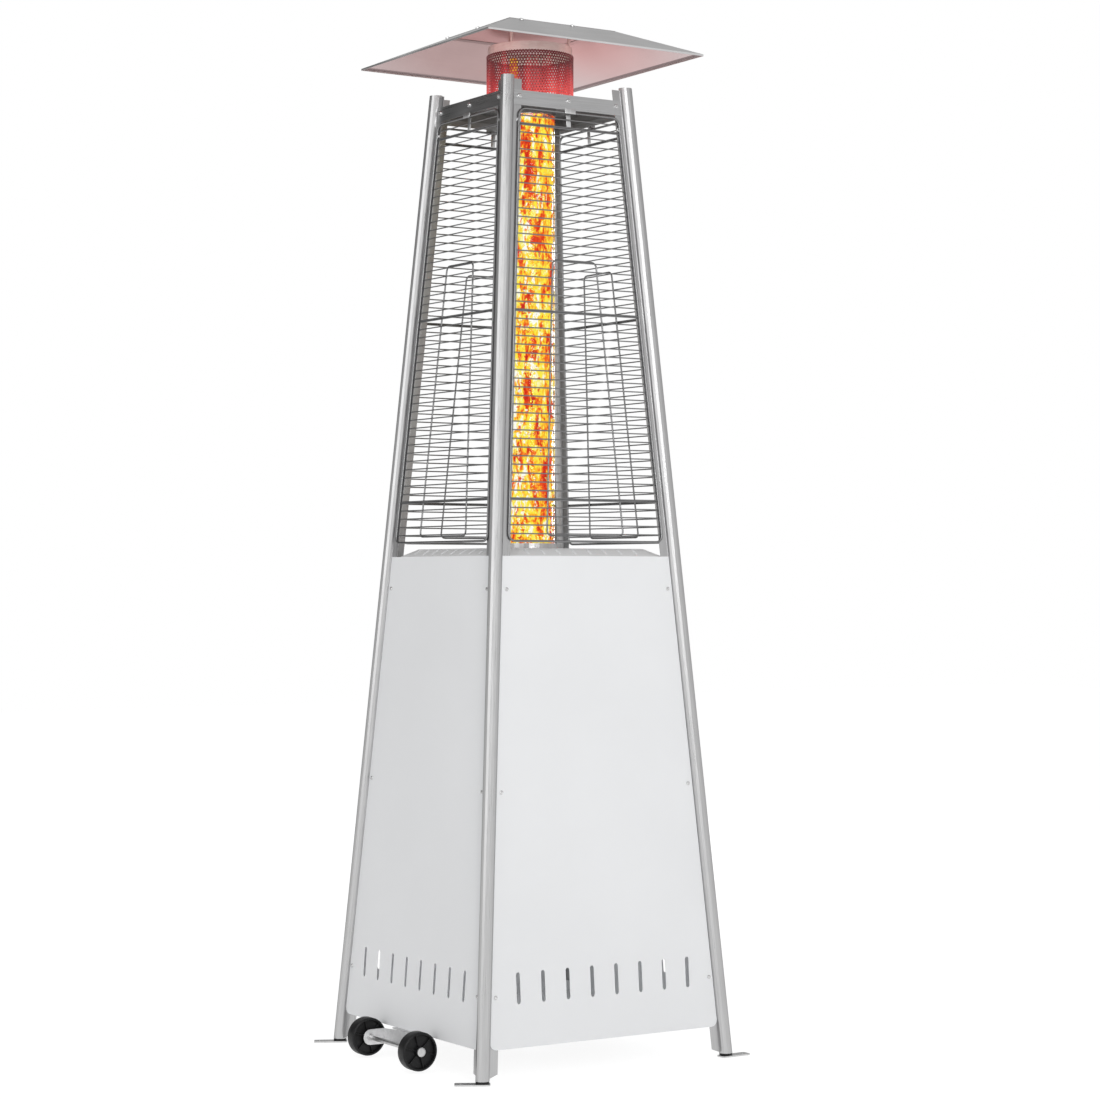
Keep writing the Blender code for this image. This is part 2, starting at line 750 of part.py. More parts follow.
def burner_deck():
    low = PANEL_TOP - DECK_SKIRT
    high = PANEL_TOP + FIT
    slope_half = half_at(high) - PAN_INSET - DECK_STEP
    levels = [
        (half_at(low) - PAN_INSET, DECK_CORNER_R, low),
        (half_at(high) - PAN_INSET, DECK_CORNER_R, high - DECK_STEP / 2),
        (slope_half, DECK_CORNER_R, high + DECK_STEP / 4),
        (slope_half - DECK_SLOPE_RUN, DECK_CORNER_R, DECK_TOP),
    ]
    deck = pan("burner_deck", levels, DECK_HOLE_R, WHITE)
    middle = slope_half - DECK_SLOPE_RUN / 2
    height = (high + DECK_TOP) / 2
    tilt = math.atan2(DECK_RISE, DECK_SLOPE_RUN)
    comb = bmesh.new()
    first = -DECK_SLIT_PITCH * (DECK_SLITS - 1) / 2
    for turn in range(4):
        for i in range(DECK_SLITS):
            made = bmesh.ops.create_cube(comb, size=1)["verts"]
            bmesh.ops.scale(comb, vec=(DECK_SLIT_WIDTH, DECK_SLIT_LENGTH, OVERRUN * 2), verts=made)
            spot = Matrix.Rotation(math.radians(90 * turn), 4, "Z")
            spot = spot @ upright(first + DECK_SLIT_PITCH * i, middle, height)
            spot = spot @ Matrix.Rotation(-tilt, 4, "X")
            bmesh.ops.transform(comb, matrix=spot, verts=made)
    mesh = bpy.data.meshes.new("slits")
    comb.to_mesh(mesh)
    comb.free()
    cut(deck, "slits", mesh)


def glass_and_rings():
    inner = GLASS_SEAT_R
    bottom = DECK_TOP + FIT
    glass_low = bottom + SEAT_FLOOR + FIT
    glass_high = PLATE_UNDER - FIT - GLASS_END_PLAY
    seat = [
        (inner + SEAT_WALL, bottom + SEAT_HEIGHT),
        (inner + SEAT_WALL, bottom),
        (inner - SEAT_LIP, bottom),
        (inner - SEAT_LIP, bottom + SEAT_FLOOR),
        (inner, bottom + SEAT_FLOOR),
        (inner, bottom + SEAT_HEIGHT),
    ]
    turned("glass_seat_ring", seat, STEEL, ring=True)
    rims = [circle(0, 0, GLASS_R), circle(0, 0, GLASS_R - GLASS_WALL)]
    place("glass_tube", sheet_mesh(rims, glass_low, glass_high), GLASS)
    top = PLATE_UNDER - FIT
    collar = [
        (TOP_RING_FLANGE_R, top),
        (TOP_RING_FLANGE_R, top - SEAT_FLOOR),
        (TOP_RING_R, top - SEAT_FLOOR),
        (TOP_RING_R, top - TOP_RING_HEIGHT),
        (inner, top - TOP_RING_HEIGHT),
        (inner, top),
    ]
    turned("glass_top_ring", collar, STEEL, ring=True)


# Emitter and hood

def emitter():
    skirt = PLATE_TOP - PLATE_SKIRT
    levels = [
        (half_at(skirt) - PAN_INSET, PLATE_CORNER_R, skirt),
        (half_at(PLATE_TOP) - PAN_INSET, PLATE_CORNER_R, PLATE_TOP),
    ]
    pan("emitter_plate", levels, PLATE_HOLE_R, STEEL)
    wall = SCREEN_R - SCREEN_WALL
    screen = [
        (SCREEN_R, SCREEN_TOP),
        (SCREEN_R, SCREEN_LOW + SCREEN_FOOT_THICK),
        (SCREEN_FOOT_R, SCREEN_LOW + SCREEN_FOOT_THICK),
        (SCREEN_FOOT_R, SCREEN_LOW),
        (wall, SCREEN_LOW),
        (wall, SCREEN_TOP),
    ]
    turned("emitter_screen", screen, GLOWING, ring=True)
    thin = BAND_R - SHEET
    band = [
        (BAND_R, BAND_TOP),
        (BAND_R, BAND_LOW + SHEET),
        (SCREEN_R, BAND_LOW + SHEET),
        (SCREEN_R, BAND_LOW),
        (thin, BAND_LOW),
        (thin, BAND_TOP - SHEET),
        (BAND_INNER_R, BAND_TOP - SHEET),
        (BAND_INNER_R, BAND_TOP),
    ]
    turned("emitter_band", band, STEEL, ring=True)
    low = BAND_TOP + FIT
    for i in range(STANDOFF_COUNT):
        turn = math.radians(360 * i / STANDOFF_COUNT)
        at = upright(STANDOFF_CIRCLE * math.cos(turn), STANDOFF_CIRCLE * math.sin(turn), 0)
        mesh = rod_mesh(STANDOFF_R, low, low + STANDOFF_LENGTH)
        place("hood_standoff_%d" % (i + 1), mesh, STEEL, at)


def folded_outline(path, thickness):
    """Closed outline of a folded sheet: its outer path, and back along its inner side."""
    inner = []
    for i, here in enumerate(path):
        before = Vector(path[max(i - 1, 0)])
        after = Vector(path[min(i + 1, len(path) - 1)])
        here = Vector(here)
        ways = [(b - a).normalized() for a, b in ((before, here), (here, after)) if (b - a).length]
        normals = [Vector((way.y, -way.x)) for way in ways]
        mean = sum(normals, Vector((0, 0))).normalized()
        inner.append(here + mean * thickness / mean.dot(normals[0]))
    return [*path, *[tuple(point) for point in reversed(inner)]]


def hood():
    plate = HOOD_UNDER
    half = HOOD_PLATEAU
    square = [(-half, -half), (half, -half), (half, half), (-half, half)]
    place("hood_top", sheet_mesh([square], plate, plate + SHEET), STEEL)
    flat = plate - FIT
    rim = plate + SHEET - HOOD_DROP
    path = [
        (HOOD_RIM, rim - HOOD_LIP),
        (HOOD_RIM, rim),
        (half, flat),
        (half - HOOD_FLANGE, flat),
    ]
    outline = folded_outline(path[::-1], HOOD_SHEET)
    mitre_gap = FIT
    for side, outward in OUTWARD.items():
        mesh = sheet_mesh([outline], -HOOD_RIM - OVERRUN, HOOD_RIM + OVERRUN)
        shape = bmesh.new()
        shape.from_mesh(mesh)
        for sign in (-1, 1):
            everything = shape.verts[:] + shape.edges[:] + shape.faces[:]
            found = bmesh.ops.bisect_plane(
                shape,
                geom=everything,
                plane_co=(mitre_gap, 0, 0),
                plane_no=(-1, 0, sign),
                clear_outer=True,
            )
            rims = [item for item in found["geom_cut"] if isinstance(item, bmesh.types.BMEdge)]
            bmesh.ops.edgeloop_fill(shape, edges=rims)
        bmesh.ops.recalc_face_normals(shape, faces=shape.faces)
        shape.to_mesh(mesh)
        shape.free()
        turn = Matrix((outward, UP, outward.cross(UP))).transposed().to_4x4()
        mesh.transform(turn)
        place("hood_panel_" + side, mesh, STEEL)


# Rails and guards on the faces

def top_rails():
    outline = face_outline(RAIL_BOTTOM, RAIL_TOP, PANEL_INSET)
    for side in OUTWARD:
        place("top_rail_" + side, sheet_mesh([outline], SKIN_IN, SKIN_OUT, face_frame(side)), STEEL)


def rounded_trapezoid(low, high, bottom, top, corner_r):
    """A four-sided outline with rounded corners."""
    slope = math.degrees(math.atan2(bottom - top, high - low))
    shift = corner_r * math.tan(math.radians(45 - slope / 2))
    close = corner_r * math.tan(math.radians(45 + slope / 2))
    lean = math.tan(math.radians(slope))
    right_low = (bottom - close, low + corner_r)
    right_high = (top - shift, high - corner_r)
    right = arc(*right_low, corner_r, -90, slope, ARC) + arc(*right_high, corner_r, slope, 90, ARC)
    if lean < 0:
        right = right[::-1]
    left = [(-x, y) for x, y in reversed(right)]
    return right + left


def row_thickness(row):
    if row in (0, GUARD_GAPS):
        return GUARD_ROD
    return GUARD_ROD if row in DOUBLED_ROWS else GUARD_WIRE


def guards():
    low, high = GUARD_BOTTOM, GUARD_TOP
    bottom, top = half_at(low) - GUARD_SIDE_GAP, half_at(high) - GUARD_SIDE_GAP
    outline = rounded_trapezoid(low, high, bottom, top, GUARD_CORNER_R)
    gaps = []
    for row in range(GUARD_GAPS):
        under = low + row * GUARD_PITCH + row_thickness(row) / 2
        over = low + (row + 1) * GUARD_PITCH - row_thickness(row + 1) / 2
        if row == 0:
            under = low + GUARD_ROD
        if row == GUARD_GAPS - 1:
            over = high - GUARD_ROD
        inset = GUARD_SIDE_GAP + GUARD_ROD
        wide, narrow = half_at(under) - inset, half_at(over) - inset
        gaps.append([(-wide, under), (wide, under), (narrow, over), (-narrow, over)])
    back = FLANGE_THICK / 2 + FIT
    front = back + GUARD_DEPTH
    loop_low = low + LOOP_RISE
    loop_high = loop_low + LOOP_HEIGHT
    outer = rounded_trapezoid(loop_low, loop_high, LOOP_BOTTOM_HALF, LOOP_TOP_HALF, LOOP_CORNER_R)
    inner = rounded_trapezoid(
        loop_low + GUARD_DEPTH,
        loop_high - GUARD_DEPTH,
        LOOP_BOTTOM_HALF - GUARD_DEPTH,
        LOOP_TOP_HALF - GUARD_DEPTH,
        LOOP_CORNER_R - GUARD_DEPTH,
    )
    for side in OUTWARD:
        frame = face_frame(side)
        guard = place("guard_" + side, sheet_mesh([outline], back, front, frame), DARK_STEEL)
        cut(guard, "gaps_" + side, sheet_mesh(gaps, back - OVERRUN, front + OVERRUN, frame))
        loop = sheet_mesh([outer, inner], back - FIT - GUARD_DEPTH, back - FIT, frame)
        place("guard_loop_" + side, loop, DARK_STEEL)


# Wheels, axle and bracket under the rear edge

def along_x(x=0.0):
    """Frame of the axle: z points along +X."""
    return upright(x, AXLE_OUT, AXLE_HEIGHT) @ Matrix.Rotation(math.radians(90), 4, "Y")


def wheels():
    half = WHEEL_WIDTH / 2
    bore = AXLE_R + FIT
    rim = WHEEL_R - WHEEL_RIM
    side = [
        (bore, half),
        (WHEEL_HUB_R, half),
        (WHEEL_HUB_R + WHEEL_DISH / 2, half - WHEEL_DISH),
        (rim - WHEEL_DISH / 2, half - WHEEL_DISH),
        (rim, half),
        (WHEEL_R - TREAD_ROUND, half),
        (WHEEL_R, half - TREAD_ROUND),
    ]
    profile = side + [(radius, -height) for radius, height in reversed(side)]
    for name, sign in (("wheel_left", -1), ("wheel_right", 1)):
        turned(name, profile, BLACK, along_x(sign * WHEEL_CENTRE), ring=True)


def axle():
    inside = EAR_INNER - FIT
    wheel_out = WHEEL_CENTRE + WHEEL_WIDTH / 2
    half = [
        (0, wheel_out + FIT + AXLE_CAP),
        (AXLE_CAP_R * AXLE_CAP_FACE_SHARE, wheel_out + FIT + AXLE_CAP),
        (AXLE_CAP_R, wheel_out + FIT + AXLE_CAP * AXLE_CAP_EDGE_SHARE),
        (AXLE_CAP_R, wheel_out + FIT),
        (AXLE_R, wheel_out + FIT),
        (AXLE_R, inside),
        (COLLAR_R, inside),
        (COLLAR_R, inside - COLLAR_WIDTH),
        (AXLE_R, inside - COLLAR_WIDTH),
    ]
    profile = half + [(radius, -height) for radius, height in reversed(half)]
    turned("axle", profile, STEEL, along_x(), SMALL_ROUND)


def wheel_bracket():
    """A web that rises to a lap under the shelf, with an ear at each end."""
    across = Matrix(((0, 0, 1), (1, 0, 0), (0, 1, 0))).to_4x4()
    behind = Matrix(((1, 0, 0), (0, 0, -1), (0, 1, 0))).to_4x4()
    half_thick = BRACKET_THICK / 2
    top = PANEL_BOTTOM - FIT
    web_in = AXLE_OUT - WEB_BEHIND_AXLE
    web_out = web_in + BRACKET_THICK
    lap_in = half_at(PANEL_BOTTOM) - PAN_INSET - BRACKET_LAP
    ear_low, ear_high = AXLE_HEIGHT - EAR_R, AXLE_HEIGHT + EAR_R
    web_low, web_high = ear_low + half_thick, ear_high - half_thick
    reach = EAR_INNER + half_thick
    crest = EAR_INNER - WEB_FROM_EAR
    web = [
        (-reach, web_low),
        (reach, web_low),
        (reach, web_high),
        (crest, top - half_thick),
        (-crest, top - half_thick),
        (-reach, web_high),
    ]
    bracket = place("wheel_bracket", sheet_mesh([web], -web_out, -web_in, behind), STEEL)
    middle = web_in + half_thick
    lap = [(lap_in, top - BRACKET_THICK), (middle, top - BRACKET_THICK), (middle, top), (lap_in, top)]
    lap_reach = EAR_INNER - LAP_FROM_EAR
    join(bracket, "lap", sheet_mesh([lap], -lap_reach, lap_reach, across))
    ear = [
        (middle, ear_low),
        *arc(AXLE_OUT, AXLE_HEIGHT, EAR_R, -90, 90, ARC * 2),
        (middle, ear_high),
    ]
    hole = circle(AXLE_OUT, AXLE_HEIGHT, AXLE_R + FIT, SMALL_ROUND)
    outer = EAR_INNER + BRACKET_THICK
    join(bracket, "ear_right", sheet_mesh([ear, hole], EAR_INNER, outer, across))
    join(bracket, "ear_left", sheet_mesh([ear, hole], -outer, -EAR_INNER, across))


# Controls, valve and burner

CONTROL = square_frame("front", CONTROL_HEIGHT)


def valve_and_knob():
    block = box_mesh(
        (VALVE_WIDTH, VALVE_HEIGHT, VALVE_DEPTH), (0, 0, PANEL_BACK - VALVE_DEPTH / 2), OVERRUN / 2
    )
    valve = place("gas_valve", block, BRASS, CONTROL)
    tip_down = Matrix.Rotation(math.radians(90), 4, "X")
    ends = VALVE_HEIGHT / 2
    deep = upright(0, 0, PANEL_BACK - VALVE_DEPTH / 2) @ tip_down
    nipple = rod_mesh(NIPPLE_R, ends - OVERRUN, ends + NIPPLE_LENGTH, deep)
    join(valve, "inlet_nipple", nipple, CONTROL)
    outlet = rod_mesh(OUTLET_R, -ends - OUTLET_LENGTH, OVERRUN - ends, deep)
    join(valve, "outlet", outlet, CONTROL)
    stem_low = STEM_TOP - STEM_LENGTH
    bore_low = stem_low - PUSH_TRAVEL - FIT
    cut(valve, "stem_bore", rod_mesh(STEM_R + FIT, bore_low, PANEL_BACK + OVERRUN), CONTROL)
    place("valve_stem", rod_mesh(STEM_R, stem_low, STEM_TOP), STEEL, CONTROL)
    top = KNOB_BACK + KNOB_DEPTH
    skirt_r = KNOB_R + KNOB_SKIRT_STEP
    profile = [
        (0, top),
        (KNOB_R * KNOB_TOP_SHARE, top),
        (KNOB_R * KNOB_WAIST_SHARE, KNOB_BACK + KNOB_SKIRT),
        (skirt_r, KNOB_BACK + KNOB_SKIRT * KNOB_SKIRT_EDGE_SHARE),
        (skirt_r, KNOB_BACK),
        (STEM_R + FIT, KNOB_BACK),
        (STEM_R + FIT, STEM_TOP + FIT),
        (0, STEM_TOP + FIT),
    ]
    knob = turned("control_knob", profile, BLACK, CONTROL, ROUND)
    grip_length = KNOB_R * 2 * KNOB_GRIP_LENGTH_SHARE
    grip_size = (KNOB_GRIP, grip_length, KNOB_GRIP)
    grip = box_mesh(grip_size, (0, 0, top), KNOB_GRIP * KNOB_GRIP_ROUND_SHARE)
    join(knob, "knob_grip", grip, CONTROL)


def igniter():
    at = square_frame("front", CONTROL_HEIGHT, IGNITER_ACROSS)
    bore = BUTTON_R + BUTTON_SIDE_GAP
    bezel_r = IGNITER_R + BEZEL_LIP
    face = PANEL_FACE + BEZEL_THICK
    button_low = face + BUTTON_PROUD - BUTTON_LENGTH
    floor = button_low - BUTTON_TRAVEL - FIT
    body = [
        (0, floor),
        (bore, floor),
        (bore, face),
        (bezel_r * BEZEL_FACE_SHARE, face),
        (bezel_r, PANEL_FACE + BEZEL_THICK * BEZEL_EDGE_SHARE),
        (bezel_r, PANEL_FACE),
        (IGNITER_R, PANEL_FACE),
        (IGNITER_R, face - IGNITER_DEPTH),
        (0, face - IGNITER_DEPTH),
    ]
    turned("igniter_body", body, BLACK, at, SMALL_ROUND)
    button = [
        (0, face + BUTTON_PROUD),
        (BUTTON_R * BUTTON_FACE_SHARE, face + BUTTON_PROUD),
        (BUTTON_R, face + BUTTON_PROUD * BUTTON_SHOULDER_SHARE),
        (BUTTON_R, button_low),
        (0, button_low),
    ]
    turned("igniter_button", button, BLACK, at, SMALL_ROUND)


def burner():
    flange = DECK_TOP - SHEET - FIT
    floor = flange - CUP_DEPTH
    inner = CUP_R - CUP_WALL
    cup = [
        (0, floor + CUP_WALL),
        (inner, floor + CUP_WALL),
        (inner, flange),
        (CUP_FLANGE_R, flange),
        (CUP_FLANGE_R, flange - CUP_WALL),
        (CUP_R, flange - CUP_WALL),
        (CUP_R, floor),
        (0, floor),
    ]
    turned("burner_head", cup, STEEL)
    plate_low = floor + CUP_WALL + FIT
    plate = box_mesh(
        (PILOT_LENGTH, PILOT_WIDTH, PILOT_PLATE), (0, 0, plate_low + PILOT_PLATE / 2)
    )
    pilot = place("pilot_assembly", plate, STEEL, upright(0, -inner / 2, 0))
    for name, sign in (("pilot_tube", -1), ("flame_probe", 1)):
        at = upright(sign * PILOT_LENGTH / 3, -inner / 2, 0)
        probe = rod_mesh(PROBE_R, plate_low + PILOT_PLATE / 2, plate_low + PROBE_HEIGHT)
        join(pilot, name, probe, at)

    start = CONTROL @ Vector((0, VALVE_HEIGHT / 2 + OUTLET_LENGTH + FIT, PANEL_BACK - VALVE_DEPTH / 2))
    end = Vector((0, 0, floor - FIT))
    bend = (end.z - start.z) / 2
    handle = bend * PIPE_HANDLE_SHARE
    guide = bpy.data.curves.new("burner_pipe", "CURVE")
    guide.dimensions = "3D"
    guide.bevel_depth = PIPE_R
    guide.bevel_resolution = 2
    guide.use_fill_caps = True
    spline = guide.splines.new("BEZIER")
    climb = CONTROL.col[1].to_3d()
    middle = (start + end) / 2
    stops = [
        (start, climb),
        (Vector((0, start.y + bend, middle.z)), Vector((0, 1, 0))),
        (Vector((0, end.y - bend, middle.z)), Vector((0, 1, 0))),
        (end, UP),
    ]
    spline.bezier_points.add(len(stops) - 1)
    spline.resolution_u = ARC
    for point, (spot, way) in zip(spline.bezier_points, stops):
        point.co = spot
        point.handle_left = spot - way * handle
        point.handle_right = spot + way * handle
    pipe = bpy.data.objects.new("burner_pipe", guide)
    pipe.data.materials.append(STEEL)
    PART.objects.link(pipe)


corner_posts()
feet()
side_panels()
control_panel()
door()
door_hinges()
door_pull()
base_shelf()
burner_deck()
glass_and_rings()
emitter()
hood()
top_rails()
guards()
wheels()
axle()
wheel_bracket()
valve_and_knob()
igniter()
burner()
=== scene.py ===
import math

import bmesh
import bpy
from mathutils import Matrix, Vector, noise


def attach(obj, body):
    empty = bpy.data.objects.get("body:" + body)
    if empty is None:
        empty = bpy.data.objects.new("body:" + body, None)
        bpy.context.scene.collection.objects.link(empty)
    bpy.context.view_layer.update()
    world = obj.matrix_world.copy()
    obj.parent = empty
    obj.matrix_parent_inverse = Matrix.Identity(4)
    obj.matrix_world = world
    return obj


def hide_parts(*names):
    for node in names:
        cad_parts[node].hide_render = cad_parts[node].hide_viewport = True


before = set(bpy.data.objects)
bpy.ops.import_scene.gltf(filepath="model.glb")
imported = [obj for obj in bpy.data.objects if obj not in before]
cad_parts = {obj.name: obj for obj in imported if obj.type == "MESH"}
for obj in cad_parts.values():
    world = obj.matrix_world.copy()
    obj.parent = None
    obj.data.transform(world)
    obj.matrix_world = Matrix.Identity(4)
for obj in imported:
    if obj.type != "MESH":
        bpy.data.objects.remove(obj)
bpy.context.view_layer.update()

# Sizes of the heater, in metres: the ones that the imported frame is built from
HALF_FOOT = 0.3127
LEAN = 0.07441017
GUARD_BOTTOM = 1.128
GUARD_TOP = 2.07303
GUARD_PITCH = 0.01853
GUARD_ROWS = 51
DOUBLED_ROWS = (5, 27, 49)
GUARD_SIDE_GAP = 0.0265
SCREEN_LOW = 2.10903
SCREEN_TOP = 2.21803
SCREEN_R = 0.0975
HOOD_UNDER = 2.26883
HOOD_SHEET = 0.0008
HOOD_DROP = 0.0605
HOOD_RIM_HALF = 0.2784
HOOD_FLAT_HALF = 0.138
AXLE_OUT = 0.3531
AXLE_HEIGHT = 0.045
WHEEL_CENTRE = 0.1123
WHEEL_R = 0.0417
WHEEL_HALF = 0.014
SKIN_OUT = 0.00185

# The deck's sloping edge: how far its foot and top lie from the middle, and their heights
DECK_SLOPE = (0.19585, 0.22385, 1.0993, 1.116)

CORNERS = ("rear_left", "rear_right", "front_left", "front_right")
UP = Vector((0, 0, 1))
OUTWARD = {
    "front": Vector((0, -1, 0)),
    "right": Vector((1, 0, 0)),
    "rear": Vector((0, 1, 0)),
    "left": Vector((-1, 0, 0)),
}


# Places on the leaning faces

def half_at(height):
    """Half the distance between the post axes at a height."""
    return HALF_FOOT - LEAN * height


def on_face(side):
    """x runs across a face, y is height, z goes out from the plane of the post axes."""
    outward = OUTWARD[side]
    across = UP.cross(outward)
    rise = UP - outward * LEAN
    place = Matrix((across, rise, outward)).transposed().to_4x4()
    place.translation = outward * HALF_FOOT
    return place


def square_to(side, across, height, out):
    """A place on a face where z stands square to it and y climbs it."""
    outward = OUTWARD[side]
    sideways = UP.cross(outward)
    normal = (outward + UP * LEAN).normalized()
    place = Matrix((sideways, normal.cross(sideways), normal)).transposed().to_4x4()
    place.translation = on_face(side) @ Vector((across, height, out))
    return place


def quarter_turns(count):
    """Turns about the heater's upright axis."""
    return Matrix.Rotation(math.radians(90 * count), 4, "Z")


# Making and placing

# A face looks along an axis where more than this share of its normal points that way
STRAIGHT = 0.9

# The caps of a cylinder are its only faces with more corners than this
CAP_CORNERS = 8


def choose(piece):
    """Makes a piece the active one and the only one selected."""
    bpy.ops.object.select_all(action="DESELECT")
    bpy.context.view_layer.objects.active = piece
    piece.select_set(True)


def begin(name, add, **size):
    """An empty piece at the origin, opened for editing, with its first primitive."""
    piece = bpy.data.objects.new(name, bpy.data.meshes.new(name))
    bpy.context.scene.collection.objects.link(piece)
    choose(piece)
    bpy.ops.object.mode_set(mode="EDIT")
    bpy.ops.mesh.select_mode(type="FACE")
    add(**size)
    return piece


def pick(piece, kind, wanted):
    """Selects the faces or the edges that pass a test, and nothing else."""
    bpy.ops.mesh.select_mode(type=kind)
    bpy.ops.mesh.select_all(action="DESELECT")
    shape = bmesh.from_edit_mesh(piece.data)
    for part in shape.faces if kind == "FACE" else shape.edges:
        if wanted(part):
            part.select_set(True)
    bmesh.update_edit_mesh(piece.data)


def set_corners(piece, places):
    """Moves a primitive's corners, in their own order, to given places."""
    shape = bmesh.from_edit_mesh(piece.data)
    for corner, place in zip(shape.verts, places):
        corner.co = place
    bmesh.update_edit_mesh(piece.data)


def push(value):
    """Extrudes what is selected, and moves it."""
    bpy.ops.mesh.extrude_region_move(TRANSFORM_OT_translate={"value": value})


def array(piece, count, step):
    """Repeats a piece in even steps."""
    rows = piece.modifiers.new("rows", "ARRAY")
    rows.use_relative_offset = False
    rows.use_constant_offset = True
    rows.constant_offset_displace = step
    rows.count = count
    bpy.ops.object.modifier_apply(modifier=rows.name)


def thicken(piece, thickness):
    """Gives a bare surface a wall, half of it to each side."""
    wall = piece.modifiers.new("wall", "SOLIDIFY")
    wall.thickness = thickness
    wall.offset = 0
    bpy.ops.object.modifier_apply(modifier=wall.name)


def close(piece, smooth=35):
    """Leaves edit mode with the faces pointing out and the soft edges shaded smooth."""
    if bpy.context.mode == "EDIT_MESH":
        bpy.ops.mesh.select_all(action="SELECT")
        bpy.ops.mesh.normals_make_consistent(inside=False)
        bpy.ops.object.mode_set(mode="OBJECT")
    choose(piece)
    bpy.ops.object.shade_smooth_by_angle(angle=math.radians(smooth))
    return piece


def fit(piece, finish, body="frame", stands_for=()):
    """Gives a finished piece its material and the body that it moves with."""
    piece.data.materials.clear()
    piece.data.materials.append(finish)
    piece.data.name = piece.name
    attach(piece, body)
    if stands_for:
        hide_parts(*stands_for)
    return piece


def repeat(pattern, name, place):
    """A copy of a modelled piece, with its own mesh, at its own place."""
    copy = pattern.copy()
    copy.data = pattern.data.copy()
    copy.name = name
    bpy.context.scene.collection.objects.link(copy)
    copy.data.transform(place)
    return copy


def gather(pieces, name):
    """Joins pieces to one."""
    bpy.ops.object.select_all(action="DESELECT")
    for piece in pieces:
        piece.select_set(True)
    bpy.context.view_layer.objects.active = pieces[0]
    bpy.ops.object.join()
    pieces[0].name = name
    return pieces[0]


def scrap(*patterns):
    """Takes patterns away once they have been copied."""
    for pattern in patterns:
        bpy.data.objects.remove(pattern)


def wrap_round(piece, radius):
    """Rolls a flat piece, x along its length and y its height, to a tube about z."""
    for corner in piece.data.vertices:
        turn = corner.co.x / radius
        out = radius + corner.co.z
        corner.co = (out * math.cos(turn), out * math.sin(turn), corner.co.y)


# Steps that the finishes share

# Noise seldom leaves this span
NOISE_SPAN = (0.3, 0.7)
WHOLE_SPAN = (0.0, 1.0)

# The painted glow of the fire on undersides or tops grows in as the surface turns level, over this
# span of its normal
FACING_SPAN = (0.3, 0.6)

# Sockets of a Mix node that mixes colours
MIX_FACTOR = 0
MIX_FIRST = 6
MIX_SECOND = 7
MIX_RESULT = 2


def rgba(tone):
    return (*tone, 1)


def shade(tone, by):
    """A tone made darker or lighter, with no part of it above 1."""
    return tuple(min(1.0, part * by) for part in tone)


def plug(tree, node, inputs):
    """Sets inputs, by name or place, to plain values or to the outputs of other nodes."""
    for socket, value in inputs.items():
        if isinstance(value, bpy.types.NodeSocket):
            tree.links.new(value, node.inputs[socket])
        else:
            node.inputs[socket].default_value = value


def add_node(tree, kind, inputs=None, **settings):
    """A new shader node with its settings, such as its operation, and its inputs."""
    node = tree.nodes.new("ShaderNode" + kind)
    for setting, value in settings.items():
        setattr(node, setting, value)
    plug(tree, node, inputs or {})
    return node


def new_finish(name):
    """A new material, its nodes and its shader."""
    finish = bpy.data.materials.new(name)
    finish.use_nodes = True
    tree = finish.node_tree
    return finish, tree, tree.nodes["Principled BSDF"]


def show(tree, surface):
    """Makes the output of a shader the surface of the material."""
    plug(tree, tree.nodes["Material Output"], {"Surface": surface})


def combine(tree, operation, first, second):
    """One sum or product of two values, either of which may be a plain number."""
    return add_node(tree, "Math", {0: first, 1: second}, operation=operation).outputs[0]


def stretched(tree, place, stretch):
    mapping = add_node(tree, "Mapping", {"Vector": place, "Scale": stretch})
    return mapping.outputs["Vector"]


def object_place(tree, stretch=(1, 1, 1)):
    """Object coordinates, stretched for a pattern."""
    return stretched(tree, add_node(tree, "TexCoord").outputs["Object"], stretch)


def leaning_place(tree, stretch):
    """Object coordinates that follow the leaning posts, so that lines run along them."""
    where = add_node(tree, "TexCoord").outputs["Object"]
    height = add_node(tree, "SeparateXYZ", {0: where}).outputs["Z"]
    inputs = {0: height, 1: -LEAN / HALF_FOOT, 2: 1.0}
    narrowing = add_node(tree, "Math", inputs, operation="MULTIPLY_ADD").outputs[0]
    widen = combine(tree, "DIVIDE", 1.0, narrowing)
    spread = add_node(tree, "VectorMath", {0: where, "Scale": widen}, operation="SCALE")
    return stretched(tree, spread.outputs[0], stretch)


def along(tree, where, way):
    """How far a place lies along a direction."""
    inputs = {0: where, 1: way}
    return add_node(tree, "VectorMath", inputs, operation="DOT_PRODUCT").outputs["Value"]


def grain(tree, place, scale=1.0, detail=2.0, rough=0.5, twist=0.0):
    """Noise over a place."""
    amounts = {"Scale": scale, "Detail": detail, "Roughness": rough, "Distortion": twist}
    return add_node(tree, "TexNoise", {"Vector": place, **amounts}).outputs["Fac"]


def spread_to(tree, value, low, high, span=NOISE_SPAN):
    """A value that goes from low to high while another one crosses its span."""
    ends = {"From Min": span[0], "From Max": span[1], "To Min": low, "To Max": high}
    return add_node(tree, "MapRange", {"Value": value, **ends}).outputs["Result"]


def colour_stops(tree, value, stops):
    """A value turned to colour by stops, each a position and a tone."""
    ramp = add_node(tree, "ValToRGB", {"Fac": value})
    elements = ramp.color_ramp.elements
    first, *between, last = stops
    for element, (position, tone) in ((elements[0], first), (elements[1], last)):
        element.position = position
        element.color = rgba(tone)
    for position, tone in between:
        elements.new(position).color = rgba(tone)
    return ramp.outputs["Color"]


def two_tones(tree, value, dark, light):
    return colour_stops(tree, value, tuple(zip(NOISE_SPAN, (dark, light))))


def raise_surface(tree, shader, value, strength, depth):
    """Makes a surface rise and sink with a value."""
    bump = add_node(tree, "Bump", {"Strength": strength, "Distance": depth, "Height": value})
    plug(tree, shader, {"Normal": bump.outputs["Normal"]})


